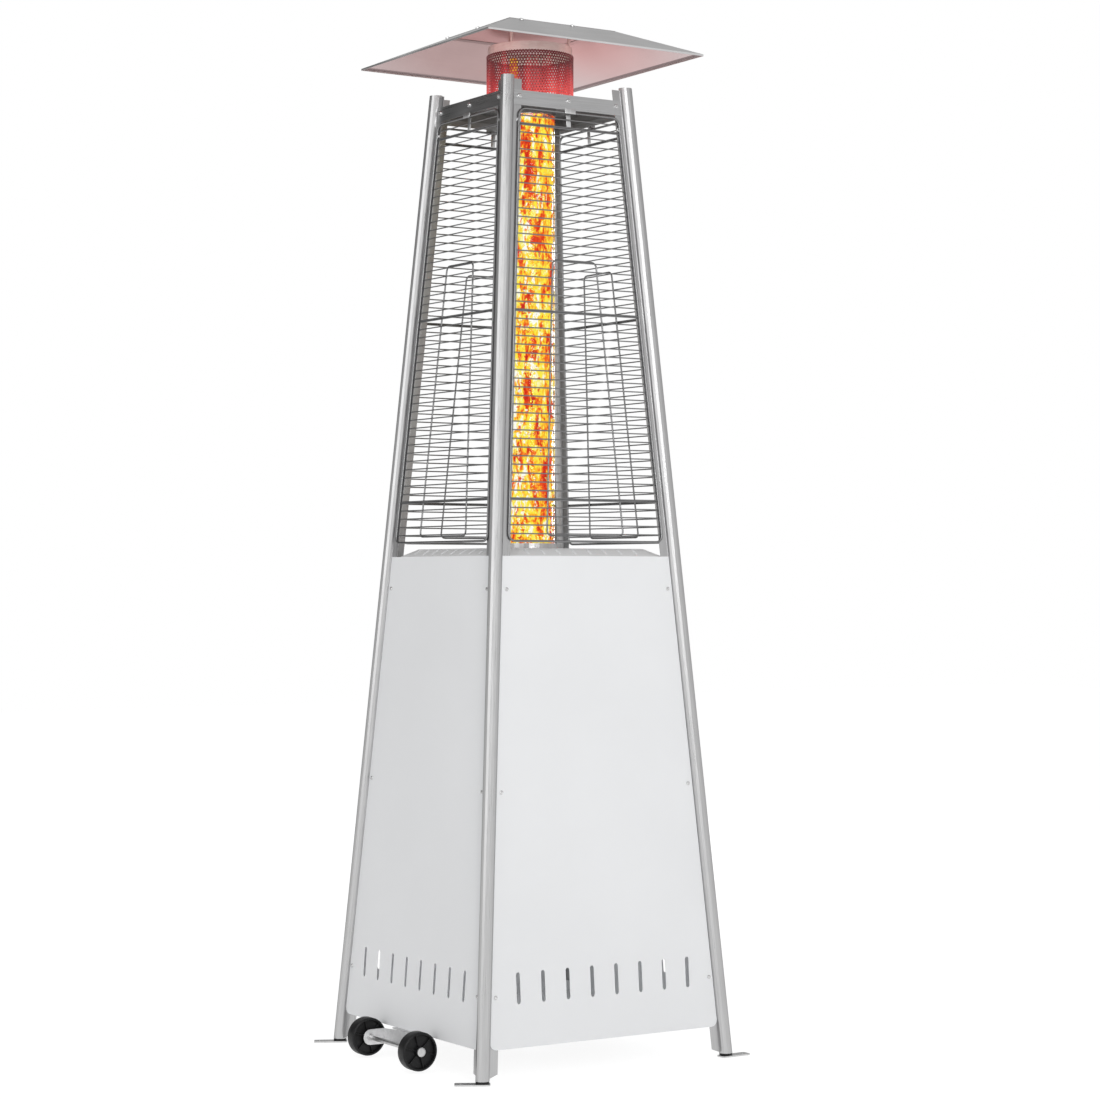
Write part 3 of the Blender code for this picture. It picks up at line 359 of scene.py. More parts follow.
def painted_fire_glow(tree, colour, glow_colour, near, far, facing):
    """Mixes a painted glow of the fire, its light painted into the colour: all of it at the near
    radius, none at the far one.

    facing is -1 where only undersides take it, and 1 where only tops do."""
    where = add_node(tree, "TexCoord")
    inputs = {0: where.outputs["Object"], 1: (1, 1, 0)}
    level = add_node(tree, "VectorMath", inputs, operation="MULTIPLY").outputs[0]
    reach = add_node(tree, "VectorMath", {0: level}, operation="LENGTH").outputs["Value"]
    rise = add_node(tree, "SeparateXYZ", {0: where.outputs["Normal"]}).outputs["Z"]
    by_reach = spread_to(tree, reach, 1.0, 0.0, (near, far))
    by_facing = spread_to(tree, rise, 0.0, 1.0, [facing * end for end in FACING_SPAN])
    inputs = {
        MIX_FACTOR: combine(tree, "MULTIPLY", by_reach, by_facing),
        MIX_FIRST: colour,
        MIX_SECOND: rgba(glow_colour),
    }
    return add_node(tree, "Mix", inputs, data_type="RGBA").outputs[MIX_RESULT]


# Finishes

def brushed_steel(name, tone, stretch, leaning=False, soft=0.30, edge=0.6, fire=None):
    """Stainless sheet or tube, with fine lines along the axis that is stretched least.

    edge is how bright it stays where it is seen at a low angle."""
    finish, tree, shader = new_finish(name)
    place = leaning_place(tree, stretch) if leaning else object_place(tree, stretch)
    lines = grain(tree, place, detail=3.0, rough=0.6)
    clouds = grain(tree, object_place(tree), scale=9.0)
    colour = two_tones(tree, lines, shade(tone, 0.90), shade(tone, 1.08))
    # Painted glow: the fire's light on this surface is painted into its colour
    if fire:
        colour = painted_fire_glow(tree, colour, *fire)
    both = combine(tree, "ADD", lines, clouds)
    both_span = [end * 2 for end in NOISE_SPAN]
    plug(tree, shader, {
        "Metallic": 1.0,
        "Specular Tint": rgba((edge, edge, edge)),
        "Base Color": colour,
        "Roughness": spread_to(tree, both, soft - 0.06, soft + 0.10, both_span),
    })
    raise_surface(tree, shader, lines, strength=0.25, depth=0.00008)
    return finish


def powder_paint(name, tone, fire=None):
    """Powder coat: fine orange peel, and a satin sheen that varies softly."""
    finish, tree, shader = new_finish(name)
    even = object_place(tree)
    peel = grain(tree, even, scale=520.0)
    clouds = grain(tree, even, scale=3.2, detail=3.0)
    colour = two_tones(tree, clouds, shade(tone, 0.965), tone)
    # Painted glow: the fire's light on this surface is painted into its colour
    if fire:
        colour = painted_fire_glow(tree, colour, *fire)
    plug(tree, shader, {
        "Specular IOR Level": 0.4,
        "Base Color": colour,
        "Roughness": spread_to(tree, clouds, 0.36, 0.46),
    })
    raise_surface(tree, shader, peel, strength=0.22, depth=0.00012)
    return finish


def moulded_plastic(name, tone, soft=0.42):
    """Plastic with fine pores, lighter and duller in places."""
    finish, tree, shader = new_finish(name)
    even = object_place(tree)
    pores = grain(tree, even, scale=900.0)
    wear = grain(tree, even, scale=60.0, detail=4.0, rough=0.65)
    plug(tree, shader, {
        "Specular IOR Level": 0.26,
        "Base Color": two_tones(tree, wear, shade(tone, 0.8), shade(tone, 1.5)),
        "Roughness": spread_to(tree, wear, soft - 0.08, soft + 0.12),
    })
    raise_surface(tree, shader, pores, strength=0.3, depth=0.0001)
    return finish


# Lower than that of real glass, which would bend the edges of the flame out of sight
GLASS_INDEX = 1.12


def clear_glass(name):
    """Clear glass with faint upright streaks of haze."""
    finish, tree, shader = new_finish(name)
    haze = grain(tree, object_place(tree, (1, 1, 0.2)), scale=30.0, detail=3.0)
    plug(tree, shader, {
        "Base Color": rgba((0.97, 0.985, 0.98)),
        "Transmission Weight": 1.0,
        "IOR": GLASS_INDEX,
        "Roughness": spread_to(tree, haze, 0.0, 0.05),
    })
    return finish


def cast_brass(name):
    """Brass with the uneven skin of a casting."""
    finish, tree, shader = new_finish(name)
    cast = grain(tree, object_place(tree), scale=140.0, detail=4.0, rough=0.6)
    plug(tree, shader, {
        "Metallic": 1.0,
        "Base Color": two_tones(tree, cast, (0.50, 0.36, 0.14), (0.68, 0.52, 0.24)),
        "Roughness": spread_to(tree, cast, 0.28, 0.5),
    })
    raise_surface(tree, shader, cast, strength=0.2, depth=0.0002)
    return finish


# Colours of what burns or glows, from cool to hot: each a place on its scale and a tone
FLAME_STOPS = (
    (0.32, (0.68, 0.030, 0.012)),
    (0.405, (0.88, 0.085, 0.015)),
    (0.435, (0.95, 0.22, 0.025)),
    (0.465, (1.0, 0.50, 0.030)),
    (0.495, (1.0, 0.80, 0.05)),
    (0.58, (1.0, 0.89, 0.15)),
    (0.61, (1.0, 0.95, 0.62)),
    (0.66, (1.0, 0.99, 0.93)),
)
WISP_STOPS = (
    (0.35, (0.40, 0.05, 0.02)),
    (0.50, (0.62, 0.30, 0.02)),
    (0.65, (0.85, 0.62, 0.06)),
)
LICK_STOPS = (
    (0.36, (0.55, 0.025, 0.018)),
    (0.44, (0.84, 0.070, 0.018)),
    (0.49, (0.95, 0.24, 0.025)),
    (0.54, (1.0, 0.52, 0.030)),
    (0.60, (1.0, 0.82, 0.06)),
)
GLOW_STOPS = (
    (0.38, (0.085, 0.016, 0.018)),
    (0.46, (0.25, 0.018, 0.022)),
    (0.55, (0.46, 0.034, 0.038)),
    (0.66, (0.80, 0.085, 0.076)),
)

# Patterns of the fire, each with its scale across twice and then up: all are drawn out upwards
TONGUES = (44, 44, 13)
SHREDS = (140, 140, 62)
GAPS = (80, 80, 52)
HOT_PATCHES = (48, 48, 9)

# Heat of the flame: its tongues, with this share of its shreds, less this much
SHRED_SHARE = 0.42
HEAT_LESS = 0.192

# A clear gap in the flame has a soft edge of this much noise
GAP_EDGE = 0.05

# How much hotter the hot screen is at its foot, and cooler at its top, than its patches alone
SCREEN_HEAT = (0.17, -0.16)

# One side of the flame burns cooler, along this level direction, from side to side of the glass
COOL_SIDE = (-0.538, -0.843, 0.0)
COOL_SPAN = (-0.05, 0.05)

# The studio outshines the fire, so the metal round the flame shows only this share of it
FIRE_IN_METAL = 0.15


def burning_gas(name, stops, gaps, side_cooling=0.0):
    """Shredded flame: broken tongues from deep red to pale yellow, with clear gaps."""
    finish, tree, shader = new_finish(name)
    tree.nodes.remove(shader)
    tongues = grain(tree, object_place(tree, TONGUES), detail=2.5, rough=0.50, twist=1.0)
    shreds = grain(tree, object_place(tree, SHREDS), detail=3.0, rough=0.55, twist=1.2)
    holes = grain(tree, object_place(tree, GAPS), detail=3.0, rough=0.6, twist=0.8)
    heat = combine(tree, "MULTIPLY", shreds, SHRED_SHARE)
    heat = combine(tree, "ADD", heat, tongues)
    heat = combine(tree, "SUBTRACT", heat, HEAT_LESS)
    if side_cooling:
        across = along(tree, add_node(tree, "TexCoord").outputs["Object"], COOL_SIDE)
        cooling = spread_to(tree, across, -side_cooling, side_cooling, COOL_SPAN)
        heat = combine(tree, "SUBTRACT", heat, cooling)
    path = add_node(tree, "LightPath").outputs
    bounces = combine(tree, "ADD", path["Glossy Depth"], path["Diffuse Depth"])
    light = add_node(tree, "Emission", {
        "Color": colour_stops(tree, heat, stops),
        "Strength": spread_to(tree, bounces, 1.0, FIRE_IN_METAL, WHOLE_SPAN),
    })
    burning = spread_to(tree, holes, 0.0, 1.0, (gaps, gaps + GAP_EDGE))
    gap = add_node(tree, "BsdfTransparent")
    inputs = {"Fac": burning, 1: gap.outputs[0], 2: light.outputs[0]}
    show(tree, add_node(tree, "MixShader", inputs).outputs[0])
    return finish


def hot_mesh(name):
    """Perforated sheet heated from inside: dark above, glowing red towards its foot."""
    finish, tree, shader = new_finish(name)
    patches = spread_to(tree, grain(tree, object_place(tree, HOT_PATCHES)), 0.42, 0.58)
    height = add_node(tree, "SeparateXYZ", {0: object_place(tree)}).outputs["Z"]
    rise = spread_to(tree, height, *SCREEN_HEAT, (SCREEN_LOW, SCREEN_TOP))
    warmth = combine(tree, "ADD", patches, rise)
    plug(tree, shader, {
        "Emission Color": colour_stops(tree, warmth, GLOW_STOPS),
        "Emission Strength": 1.0,
        "Base Color": rgba((0.07, 0.022, 0.022)),
        "Metallic": 0.6,
        "Roughness": 0.5,
    })
    return finish


# Painted glow of the fire, its light painted into the colour of what is near it: its colour, near
# radius, far radius and facing
PAINTED_GLOW_UNDER_HOOD_X = ((0.76, 0.445, 0.435), 0.17, 0.46, -1)
PAINTED_GLOW_UNDER_HOOD_Y = ((0.51, 0.362, 0.355), 0.25, 0.70, -1)
PAINTED_GLOW_ROUND_FLAME = ((0.88, 0.62, 0.52), 0.045, 0.150, 1)

HOOD_TONE = (0.72, 0.715, 0.715)

STEEL = brushed_steel("post_steel", (0.50, 0.50, 0.502), (700, 700, 9), leaning=True, edge=0.42)
RAIL_ACROSS_X = brushed_steel("rail_steel_x", (0.54, 0.542, 0.545), (9, 700, 700))
RAIL_ACROSS_Y = brushed_steel("rail_steel_y", (0.55, 0.552, 0.555), (700, 9, 700))
# The hood's undersides have the pink light of the hot screen painted into their colour
HOOD_ACROSS_X = brushed_steel("hood_steel_x", HOOD_TONE, (7, 600, 600), soft=0.36, fire=PAINTED_GLOW_UNDER_HOOD_X)
HOOD_ACROSS_Y = brushed_steel("hood_steel_y", HOOD_TONE, (600, 7, 600), soft=0.36, fire=PAINTED_GLOW_UNDER_HOOD_Y)
PLAIN_STEEL = brushed_steel("sheet_steel", (0.62, 0.62, 0.62), (220, 220, 60), soft=0.34)
ZINC_PLATE = brushed_steel("zinc_plate", (0.76, 0.76, 0.765), (90, 90, 90), soft=0.40, edge=0.8)
DARK_PLATE = brushed_steel("blackened_plate", (0.34, 0.332, 0.33), (120, 120, 120), soft=0.42)
# Painted shade: the hems take a darker copy of the hood steel, with a reddish cast of painted fire
# glow, for the shade under the rim
HEM_STEEL_PAINTED_SHADE = brushed_steel("hem_steel_painted_shade", (0.33, 0.25, 0.25), (90, 90, 90), soft=0.40)
# A bright steel with a pink cast, for the emitter band and the hood's standoffs
WARM_STEEL = brushed_steel("pale_pink_steel", (1.0, 0.86, 0.81), (60, 60, 500), soft=0.42)
WIRE = brushed_steel("drawn_wire", (0.255, 0.255, 0.257), (160, 160, 160), soft=0.32)
SCREW_STEEL = brushed_steel("screw_steel", (0.66, 0.66, 0.66), (600, 600, 600), soft=0.22)
WHITE = powder_paint("white_powder_coat", (0.86, 0.868, 0.88))
# The deck's top has the flame's light painted into its colour round the glass
DECK_WHITE = powder_paint("deck_powder_coat", (0.80, 0.80, 0.803), fire=PAINTED_GLOW_ROUND_FLAME)
BLACK = moulded_plastic("black_plastic", (0.0080, 0.0080, 0.0085))
MARK = powder_paint("mark_paint", (0.84, 0.84, 0.82))
INK = powder_paint("dial_ink", (0.045, 0.045, 0.05))
GLASS = clear_glass("quartz_glass")
BRASS = cast_brass("valve_brass")
FLAME_LICKS = burning_gas("flame_licks", LICK_STOPS, gaps=0.495)
FLAME_BODY = burning_gas("flame_body", FLAME_STOPS, gaps=0.38, side_cooling=0.06)
FLAME_WISP = burning_gas("flame_wisp", WISP_STOPS, gaps=0.44)
HOT_MESH = hot_mesh("hot_mesh")


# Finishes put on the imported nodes

def dress(finish, *nodes):
    """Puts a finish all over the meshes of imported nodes."""
    for node in nodes:
        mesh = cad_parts[node].data
        if not mesh.materials:
            mesh.materials.append(finish)
        for index in range(len(mesh.materials)):
            mesh.materials[index] = finish


def dress_the_frame():
    for corner in CORNERS:
        dress(STEEL, "post_" + corner)
        dress(PLAIN_STEEL, "foot_plate_" + corner)
        dress(BLACK, "foot_plug_" + corner)
    for side in OUTWARD:
        along_x = side in ("front", "rear")
        dress(RAIL_ACROSS_X if along_x else RAIL_ACROSS_Y, "top_rail_" + side)
        dress(HOOD_ACROSS_X if along_x else HOOD_ACROSS_Y, "hood_panel_" + side)
    # The hood steel carries the fire's painted glow on its undersides
    dress(HOOD_ACROSS_X, "hood_top")
    dress(WHITE, "side_panel_left", "side_panel_right", "side_panel_rear")
    dress(WHITE, "door", "control_panel", "base_shelf")
    # The deck's finish carries the flame's painted glow round the glass
    dress(DECK_WHITE, "burner_deck")
    dress(PLAIN_STEEL, "glass_seat_ring", "glass_top_ring", "axle")
    dress(PLAIN_STEEL, "door_hinge_lower", "door_hinge_upper")
    dress(PLAIN_STEEL, "burner_head", "burner_pipe", "pilot_assembly")
    dress(BLACK, "door_pull", "control_knob", "igniter_body", "igniter_button")
    dress(WARM_STEEL, "emitter_band", "hood_standoff_1", "hood_standoff_2", "hood_standoff_3")
    dress(DARK_PLATE, "emitter_plate")
    dress(ZINC_PLATE, "wheel_bracket")
    dress(SCREW_STEEL, "valve_stem")
    dress(BRASS, "gas_valve")
    dress(GLASS, "glass_tube")


# Wire guards

ROD_R = 0.0025
ROD_OUT = 0.0036
ROD_BEND = 0.017
WIRE_R = 0.0014
WIRE_OUT = 0.0024
DOUBLED_R = 0.0016
BRACE_R = 0.0019
BRACE_OUT = -0.0012
BRACE_BEND = 0.011
BRACE_LIFT = 0.013
BRACE_HEIGHT = 0.604
BRACE_FOOT_HALF = 0.1007
BRACE_TOP_HALF = 0.058


def bent_rod(name, corners, radius, bend):
    """A round rod bent to a closed four-sided outline with rounded corners."""
    rod = begin(name, bpy.ops.mesh.primitive_plane_add, size=1)
    set_corners(rod, corners)
    bpy.ops.mesh.select_all(action="SELECT")
    bpy.ops.mesh.bevel(offset=bend, segments=5, affect="VERTICES")
    bpy.ops.mesh.select_all(action="SELECT")
    bpy.ops.mesh.delete(type="ONLY_FACE")
    bpy.ops.object.mode_set(mode="OBJECT")
    bpy.ops.object.convert(target="CURVE")
    rod.data.bevel_depth = radius
    rod.data.bevel_resolution = 2
    bpy.ops.object.convert(target="MESH")
    bpy.ops.object.mode_set(mode="EDIT")
    return close(rod, smooth=50)


def outline_on_face(low, high, bottom, top, out):
    """Corners of an upright outline on a face, from its half widths at the bottom and the top."""
    return ((-bottom, low, out), (bottom, low, out), (-top, high, out), (top, high, out))


def guard_rows():
    """Height and radius of each thin wire: the doubled rows have two, welded side by side."""
    wires = []
    for row in range(1, GUARD_ROWS):
        height = GUARD_BOTTOM + row * GUARD_PITCH
        if row in DOUBLED_ROWS:
            wires += [(height - DOUBLED_R, DOUBLED_R), (height + DOUBLED_R, DOUBLED_R)]
        else:
            wires.append((height, WIRE_R))
    return wires


def guard_pattern():
    """A frame of rod with thin wires across it, which end in the middle of the rod."""
    inset = GUARD_SIDE_GAP + ROD_R
    low, high = GUARD_BOTTOM + ROD_R, GUARD_TOP - ROD_R
    corners = outline_on_face(low, high, half_at(low) - inset, half_at(high) - inset, ROD_OUT)
    rods = bent_rod("guard_rods", corners, ROD_R, ROD_BEND)
    sizes = [
        dict(
            vertices=8,
            radius=radius,
            depth=(half_at(height) - inset + ROD_R * 0.5) * 2,
            location=(0, height, WIRE_OUT),
            rotation=(0, math.radians(90), 0),
        )
        for height, radius in guard_rows()
    ]
    wires = begin("guard_wires", bpy.ops.mesh.primitive_cylinder_add, **sizes[0])
    for size in sizes[1:]:
        bpy.ops.mesh.primitive_cylinder_add(**size)
    close(wires, smooth=50)
    return gather([rods, wires], "guard_pattern")


def wire_guards():
    guard = guard_pattern()
    low = GUARD_BOTTOM + BRACE_LIFT + BRACE_R
    high = low + BRACE_HEIGHT - BRACE_R * 2
    halves = BRACE_FOOT_HALF - BRACE_R, BRACE_TOP_HALF - BRACE_R
    brace = bent_rod(
        "brace_pattern",
        outline_on_face(low, high, *halves, BRACE_OUT),
        BRACE_R,
        BRACE_BEND,
    )
    for side in OUTWARD:
        place = on_face(side)
        copy = repeat(guard, "wire_guard_" + side, place)
        fit(copy, WIRE, stands_for=["guard_" + side])
        copy = repeat(brace, "guard_brace_" + side, place)
        fit(copy, WIRE, stands_for=["guard_loop_" + side])
    scrap(guard, brace)


# Clips and screws

# Parts of a guard clip: the place of each on the face, and its width, height and depth
CLIP_BAR = ((0, 2.0735, 0.0072), (0.028, 0.011, 0.0012))
CLIP_TONGUE = ((0, 2.0560, -0.0016), (0.0115, 0.034, 0.0012))
CLIP_TOP = ((0, 2.0762, 0.0030), (0.0115, 0.0012, 0.0086))
CLIP_ROUND = 0.0004

SCREW_R = 0.0042
SCREW_HEIGHT = 0.0022
BOLT_R = 0.0052
BOLT_HEIGHT = 0.0032
HEAD_ROUND_SHARE = 0.45
RECESS_RIM_SHARE = 0.28
RECESS_DEPTH_SHARE = 0.4

# Across and height of the panel screws, of which the front has only the highest
PANEL_SCREWS = ((0.2738, 0.1765), (0.2405, 0.6006), (0.2081, 1.028))

RAIL_BOLT_HEIGHT = 2.097
RAIL_BOLT_REACH = 0.126
GUARD_BOLT_HEIGHT = 2.045
GUARD_BOLT_INSET = 0.0305
GUARD_BOLT_OUT = 0.00075
HINGE_HEIGHTS = (0.178, 0.745)
HINGE_SCREW_STEP = 0.008
HINGE_SCREW_INSET = 0.0285


def clip_pattern():
    """A hook of bent strip: a short bar over the top rod, a tongue behind the wires."""
    place, size = CLIP_BAR
    add_strip = bpy.ops.mesh.primitive_cube_add
    clip = begin("clip_pattern", add_strip, size=1, location=place, scale=size)
    for place, size in (CLIP_TONGUE, CLIP_TOP):
        add_strip(size=1, location=place, scale=size)
    bpy.ops.mesh.select_all(action="SELECT")
    bpy.ops.mesh.bevel(offset=CLIP_ROUND, segments=2, affect="EDGES")
    return close(clip)


def screw_pattern(name, radius, height):
    """A pan head with a rounded edge and a driver recess."""
    screw = begin(
        name,
        bpy.ops.mesh.primitive_cylinder_add,
        vertices=16,
        radius=radius,
        depth=height,
        location=(0, 0, height / 2),
    )
    pick(screw, "EDGE", lambda edge: all(corner.co.z > height / 2 for corner in edge.verts))
    bpy.ops.mesh.bevel(offset=min(radius, height) * HEAD_ROUND_SHARE, segments=2, affect="EDGES")
    pick(screw, "FACE", lambda face: face.normal.z > STRAIGHT and len(face.verts) > CAP_CORNERS)
    bpy.ops.mesh.inset(thickness=radius * RECESS_RIM_SHARE)
    push((0, 0, -height * RECESS_DEPTH_SHARE))
    return close(screw)


def heads_on_face(pattern, name, side, spots):
    """Screw heads on a face, at spots that are each an across, a height and an out."""
    heads = [repeat(pattern, "head", square_to(side, *spot)) for spot in spots]
    fit(gather(heads, name), SCREW_STEEL)


def clips_and_screws():
    clip = clip_pattern()
    screw = screw_pattern("screw_pattern", SCREW_R, SCREW_HEIGHT)
    bolt = screw_pattern("bolt_pattern", BOLT_R, BOLT_HEIGHT)
    for side in OUTWARD:
        fit(repeat(clip, "guard_clip_" + side, on_face(side)), PLAIN_STEEL)
        levels = PANEL_SCREWS[-1:] if side == "front" else PANEL_SCREWS
        spots = [(across * sign, height, SKIN_OUT) for across, height in levels for sign in (-1, 1)]
        heads_on_face(screw, "panel_screws_" + side, side, spots)
        steps = (-RAIL_BOLT_REACH, 0, RAIL_BOLT_REACH)
        spots = [(across, RAIL_BOLT_HEIGHT, SKIN_OUT) for across in steps]
        reach = half_at(GUARD_BOLT_HEIGHT) - GUARD_BOLT_INSET
        spots += [(reach * sign, GUARD_BOLT_HEIGHT, GUARD_BOLT_OUT) for sign in (-1, 1)]
        heads_on_face(bolt, "rail_bolts_" + side, side, spots)
    spots = []
    for middle in HINGE_HEIGHTS:
        for height in (middle - HINGE_SCREW_STEP, middle + HINGE_SCREW_STEP):
            spots.append((half_at(height) - HINGE_SCREW_INSET, height, SKIN_OUT))
    heads_on_face(screw, "hinge_screws", "front", spots)
    scrap(clip, screw, bolt)


# Emitter

SCREEN_SHEET = 0.0008
SCREEN_STRIP = 0.0028
HOLES_ROUND = 92
HOLE_ROWS = 18
HOLE_INSET = 0.00138
CELL_MERGE = 0.0001
SEAM_MERGE = 0.00002
LEVEL_SLACK = 0.000001

STRIP_SHEET = 0.0010
FOOT_RING_GROW = 0.0002
FOOT_RING_LOW = 0.0006
FOOT_RING_HIGH = 0.0045
FOOT_RING_FLANGE = 0.0040
TOP_STRIP_SHRINK = 0.0001
TOP_STRIP_LOW = 0.0034
TOP_STRIP_HIGH = 0.0002


def perforated_screen():
    """Six-sided holes in rows round a drum."""
    rise = (SCREEN_TOP - SCREEN_LOW - SCREEN_STRIP * 2) / (HOLE_ROWS - 1)
    cell_r = rise * 2 / 3
    cell_width = cell_r * math.sqrt(3)
    cell = dict(vertices=6, radius=cell_r, fill_type="NGON")
    screen = begin("emitter_mesh", bpy.ops.mesh.primitive_circle_add, location=(0, 0, 0), **cell)
    bpy.ops.mesh.primitive_circle_add(location=(cell_width / 2, rise, 0), **cell)
    bpy.ops.object.mode_set(mode="OBJECT")
    array(screen, HOLES_ROUND, (cell_width, 0, 0))
    array(screen, HOLE_ROWS // 2, (0, rise * 2, 0))
    bpy.ops.object.mode_set(mode="EDIT")
    bpy.ops.mesh.select_all(action="SELECT")
    bpy.ops.mesh.remove_doubles(threshold=CELL_MERGE)
    bpy.ops.mesh.inset(thickness=HOLE_INSET, use_individual=True)
    bpy.ops.mesh.delete(type="FACE")
    bpy.ops.object.mode_set(mode="OBJECT")
    drum_r = SCREEN_R - SCREEN_SHEET / 2
    widen = 2 * math.pi * drum_r / HOLES_ROUND / cell_width
    for corner in screen.data.vertices:
        corner.co.x *= widen
        corner.co.y += SCREEN_LOW + SCREEN_STRIP
    wrap_round(screen, drum_r)
    bpy.ops.object.mode_set(mode="EDIT")
    bpy.ops.mesh.select_all(action="SELECT")
    bpy.ops.mesh.remove_doubles(threshold=SEAM_MERGE)
    bpy.ops.mesh.normals_make_consistent(inside=False)
    bpy.ops.object.mode_set(mode="OBJECT")
    thicken(screen, SCREEN_SHEET)
    screen.visible_glossy = False
    bpy.ops.object.mode_set(mode="EDIT")
    return fit(close(screen), HOT_MESH, stands_for=["emitter_screen"])


def hoop(name, radius, low, high, flange=0.0):
    """A ring of strip, with a flat foot turned outwards where it has a flange."""
    ring = begin(
        name,
        bpy.ops.mesh.primitive_circle_add,
        vertices=96,
        radius=radius,
        location=(0, 0, low),
    )
    bpy.ops.mesh.select_mode(type="EDGE")
    bpy.ops.mesh.select_all(action="SELECT")
    push((0, 0, high - low))
    if flange:
        pick(ring, "EDGE", lambda edge: all(corner.co.z < low + LEVEL_SLACK for corner in edge.verts))
        push((0, 0, 0))
        grow = (radius + flange) / radius
        bpy.ops.transform.resize(value=(grow, grow, 1), center_override=(0, 0, low))
    bpy.ops.mesh.select_all(action="SELECT")
    bpy.ops.mesh.normals_make_consistent(inside=False)
    bpy.ops.object.mode_set(mode="OBJECT")
    thicken(ring, STRIP_SHEET)
    bpy.ops.object.mode_set(mode="EDIT")
    return close(ring)


def emitter_edges():
    """A flanged ring at the foot of the screen, and a plain strip round its top."""
    low, high = SCREEN_LOW + FOOT_RING_LOW, SCREEN_LOW + FOOT_RING_HIGH
    foot = hoop("emitter_foot_ring", SCREEN_R + FOOT_RING_GROW, low, high, FOOT_RING_FLANGE)
    fit(foot, PLAIN_STEEL)
    low, high = SCREEN_TOP - TOP_STRIP_LOW, SCREEN_TOP - TOP_STRIP_HIGH
    strip = hoop("emitter_top_strip", SCREEN_R - TOP_STRIP_SHRINK, low, high)
    fit(strip, HOT_MESH)


# Flame

FLAME_AROUND = 56
FLAME_UP = 150

# The body of the flame stays inside the bore of the glass, and its licks inside the wall
FLAME_REACH = 0.0527
LICKS_REACH = 0.0553
WISP_MIDDLE = Vector((0.020, 0.031, 0))

# A flame swells slowly, and half as much again in quick steps: scales around it and up it
SLOW_AROUND = 1.4
SLOW_UP = 11
QUICK_AROUND = 3.0
QUICK_UP = 34
QUICK_SHARE = 0.5


def swelling(way, height, seed):
    """How much a flame swells towards one way at a height: below zero where it pinches."""
    slow = Vector((way.x * SLOW_AROUND, way.y * SLOW_AROUND, height * SLOW_UP))
    quick = Vector((way.x * QUICK_AROUND, way.y * QUICK_AROUND, height * QUICK_UP))
    swell = noise.noise(slow + Vector((seed, 0, 0)))
    return swell + QUICK_SHARE * noise.noise(quick + Vector((0, seed, 0)))


def flame_sheet(name, finish, heights, radii, wobble, seed, middle=Vector(), limit=FLAME_REACH):
    """A rolled sheet of flame whose side swells and pinches as it climbs."""
    sheet = begin(
        name,
        bpy.ops.mesh.primitive_grid_add,
        x_subdivisions=FLAME_AROUND,
        y_subdivisions=FLAME_UP,
        size=1,
        location=(0.5, 0.5, 0),
    )
    bpy.ops.object.mode_set(mode="OBJECT")
    for corner in sheet.data.vertices:
        share = corner.co.y
        turn = corner.co.x * 2 * math.pi
        height = heights[0] + (heights[1] - heights[0]) * share
        radius = radii[0] + (radii[1] - radii[0]) * share
        way = Vector((math.cos(turn), math.sin(turn), 0))
        reach = radius * (1 + wobble * swelling(way, height, seed))
        corner.co = middle + way * min(reach, limit) + UP * height
    bpy.ops.object.mode_set(mode="EDIT")
    bpy.ops.mesh.select_all(action="SELECT")
    bpy.ops.mesh.remove_doubles(threshold=SEAM_MERGE)
    return fit(close(sheet, smooth=80), finish)


def flames():
    """Licks along the glass, the body of the flame, and a wisp of it in the emitter."""
    size = dict(heights=(1.1195, 2.0840), radii=(0.0546, 0.0546), limit=LICKS_REACH)
    flame_sheet("flame_licks", FLAME_LICKS, wobble=0.01, seed=3.0, **size)
    size = dict(heights=(1.1185, 2.0790), radii=(0.0500, 0.0495))
    flame_sheet("flame_body", FLAME_BODY, wobble=0.07, seed=11.0, **size)
    size = dict(heights=(2.1105, 2.2150), radii=(0.0110, 0.0080), middle=WISP_MIDDLE)
    flame_sheet("flame_wisp", FLAME_WISP, wobble=0.30, seed=7.0, **size)


# Wheels

RIM = 0.0050
DISH = 0.0088
DRAFT = 0.0008
HUB_R = 0.0112
HUB_STEP = 0.0030
BORE_R = 0.0056
SHOULDER = 0.0036
SHOULDER_SLACK = 0.0004
RIM_ROUND = 0.0006
RIM_SLACK = 0.0001
FACE_SLACK = 0.00001
RIBS = 6
FIRST_RIB_SHARE = 0.25
RIB_WIDTH = 0.0017
RIB_DEPTH = 0.0058
RIB_RISE = 0.0020
RIB_IN_HUB = 0.0002
RIB_IN_RIM = 0.0004


def round_wheel_edges(wheel, offset, segments, wanted):
    """Rounds the edges of a wheel's two faces that lie at a wanted radius."""
    def on_edge(corner):
        on_side = abs(abs(corner.co.x) - WHEEL_HALF) < FACE_SLACK
        return on_side and wanted(corner.co.yz.length)

    pick(wheel, "EDGE", lambda edge: all(on_edge(corner) for corner in edge.verts))
    bpy.ops.mesh.bevel(offset=offset, segments=segments, affect="EDGES")


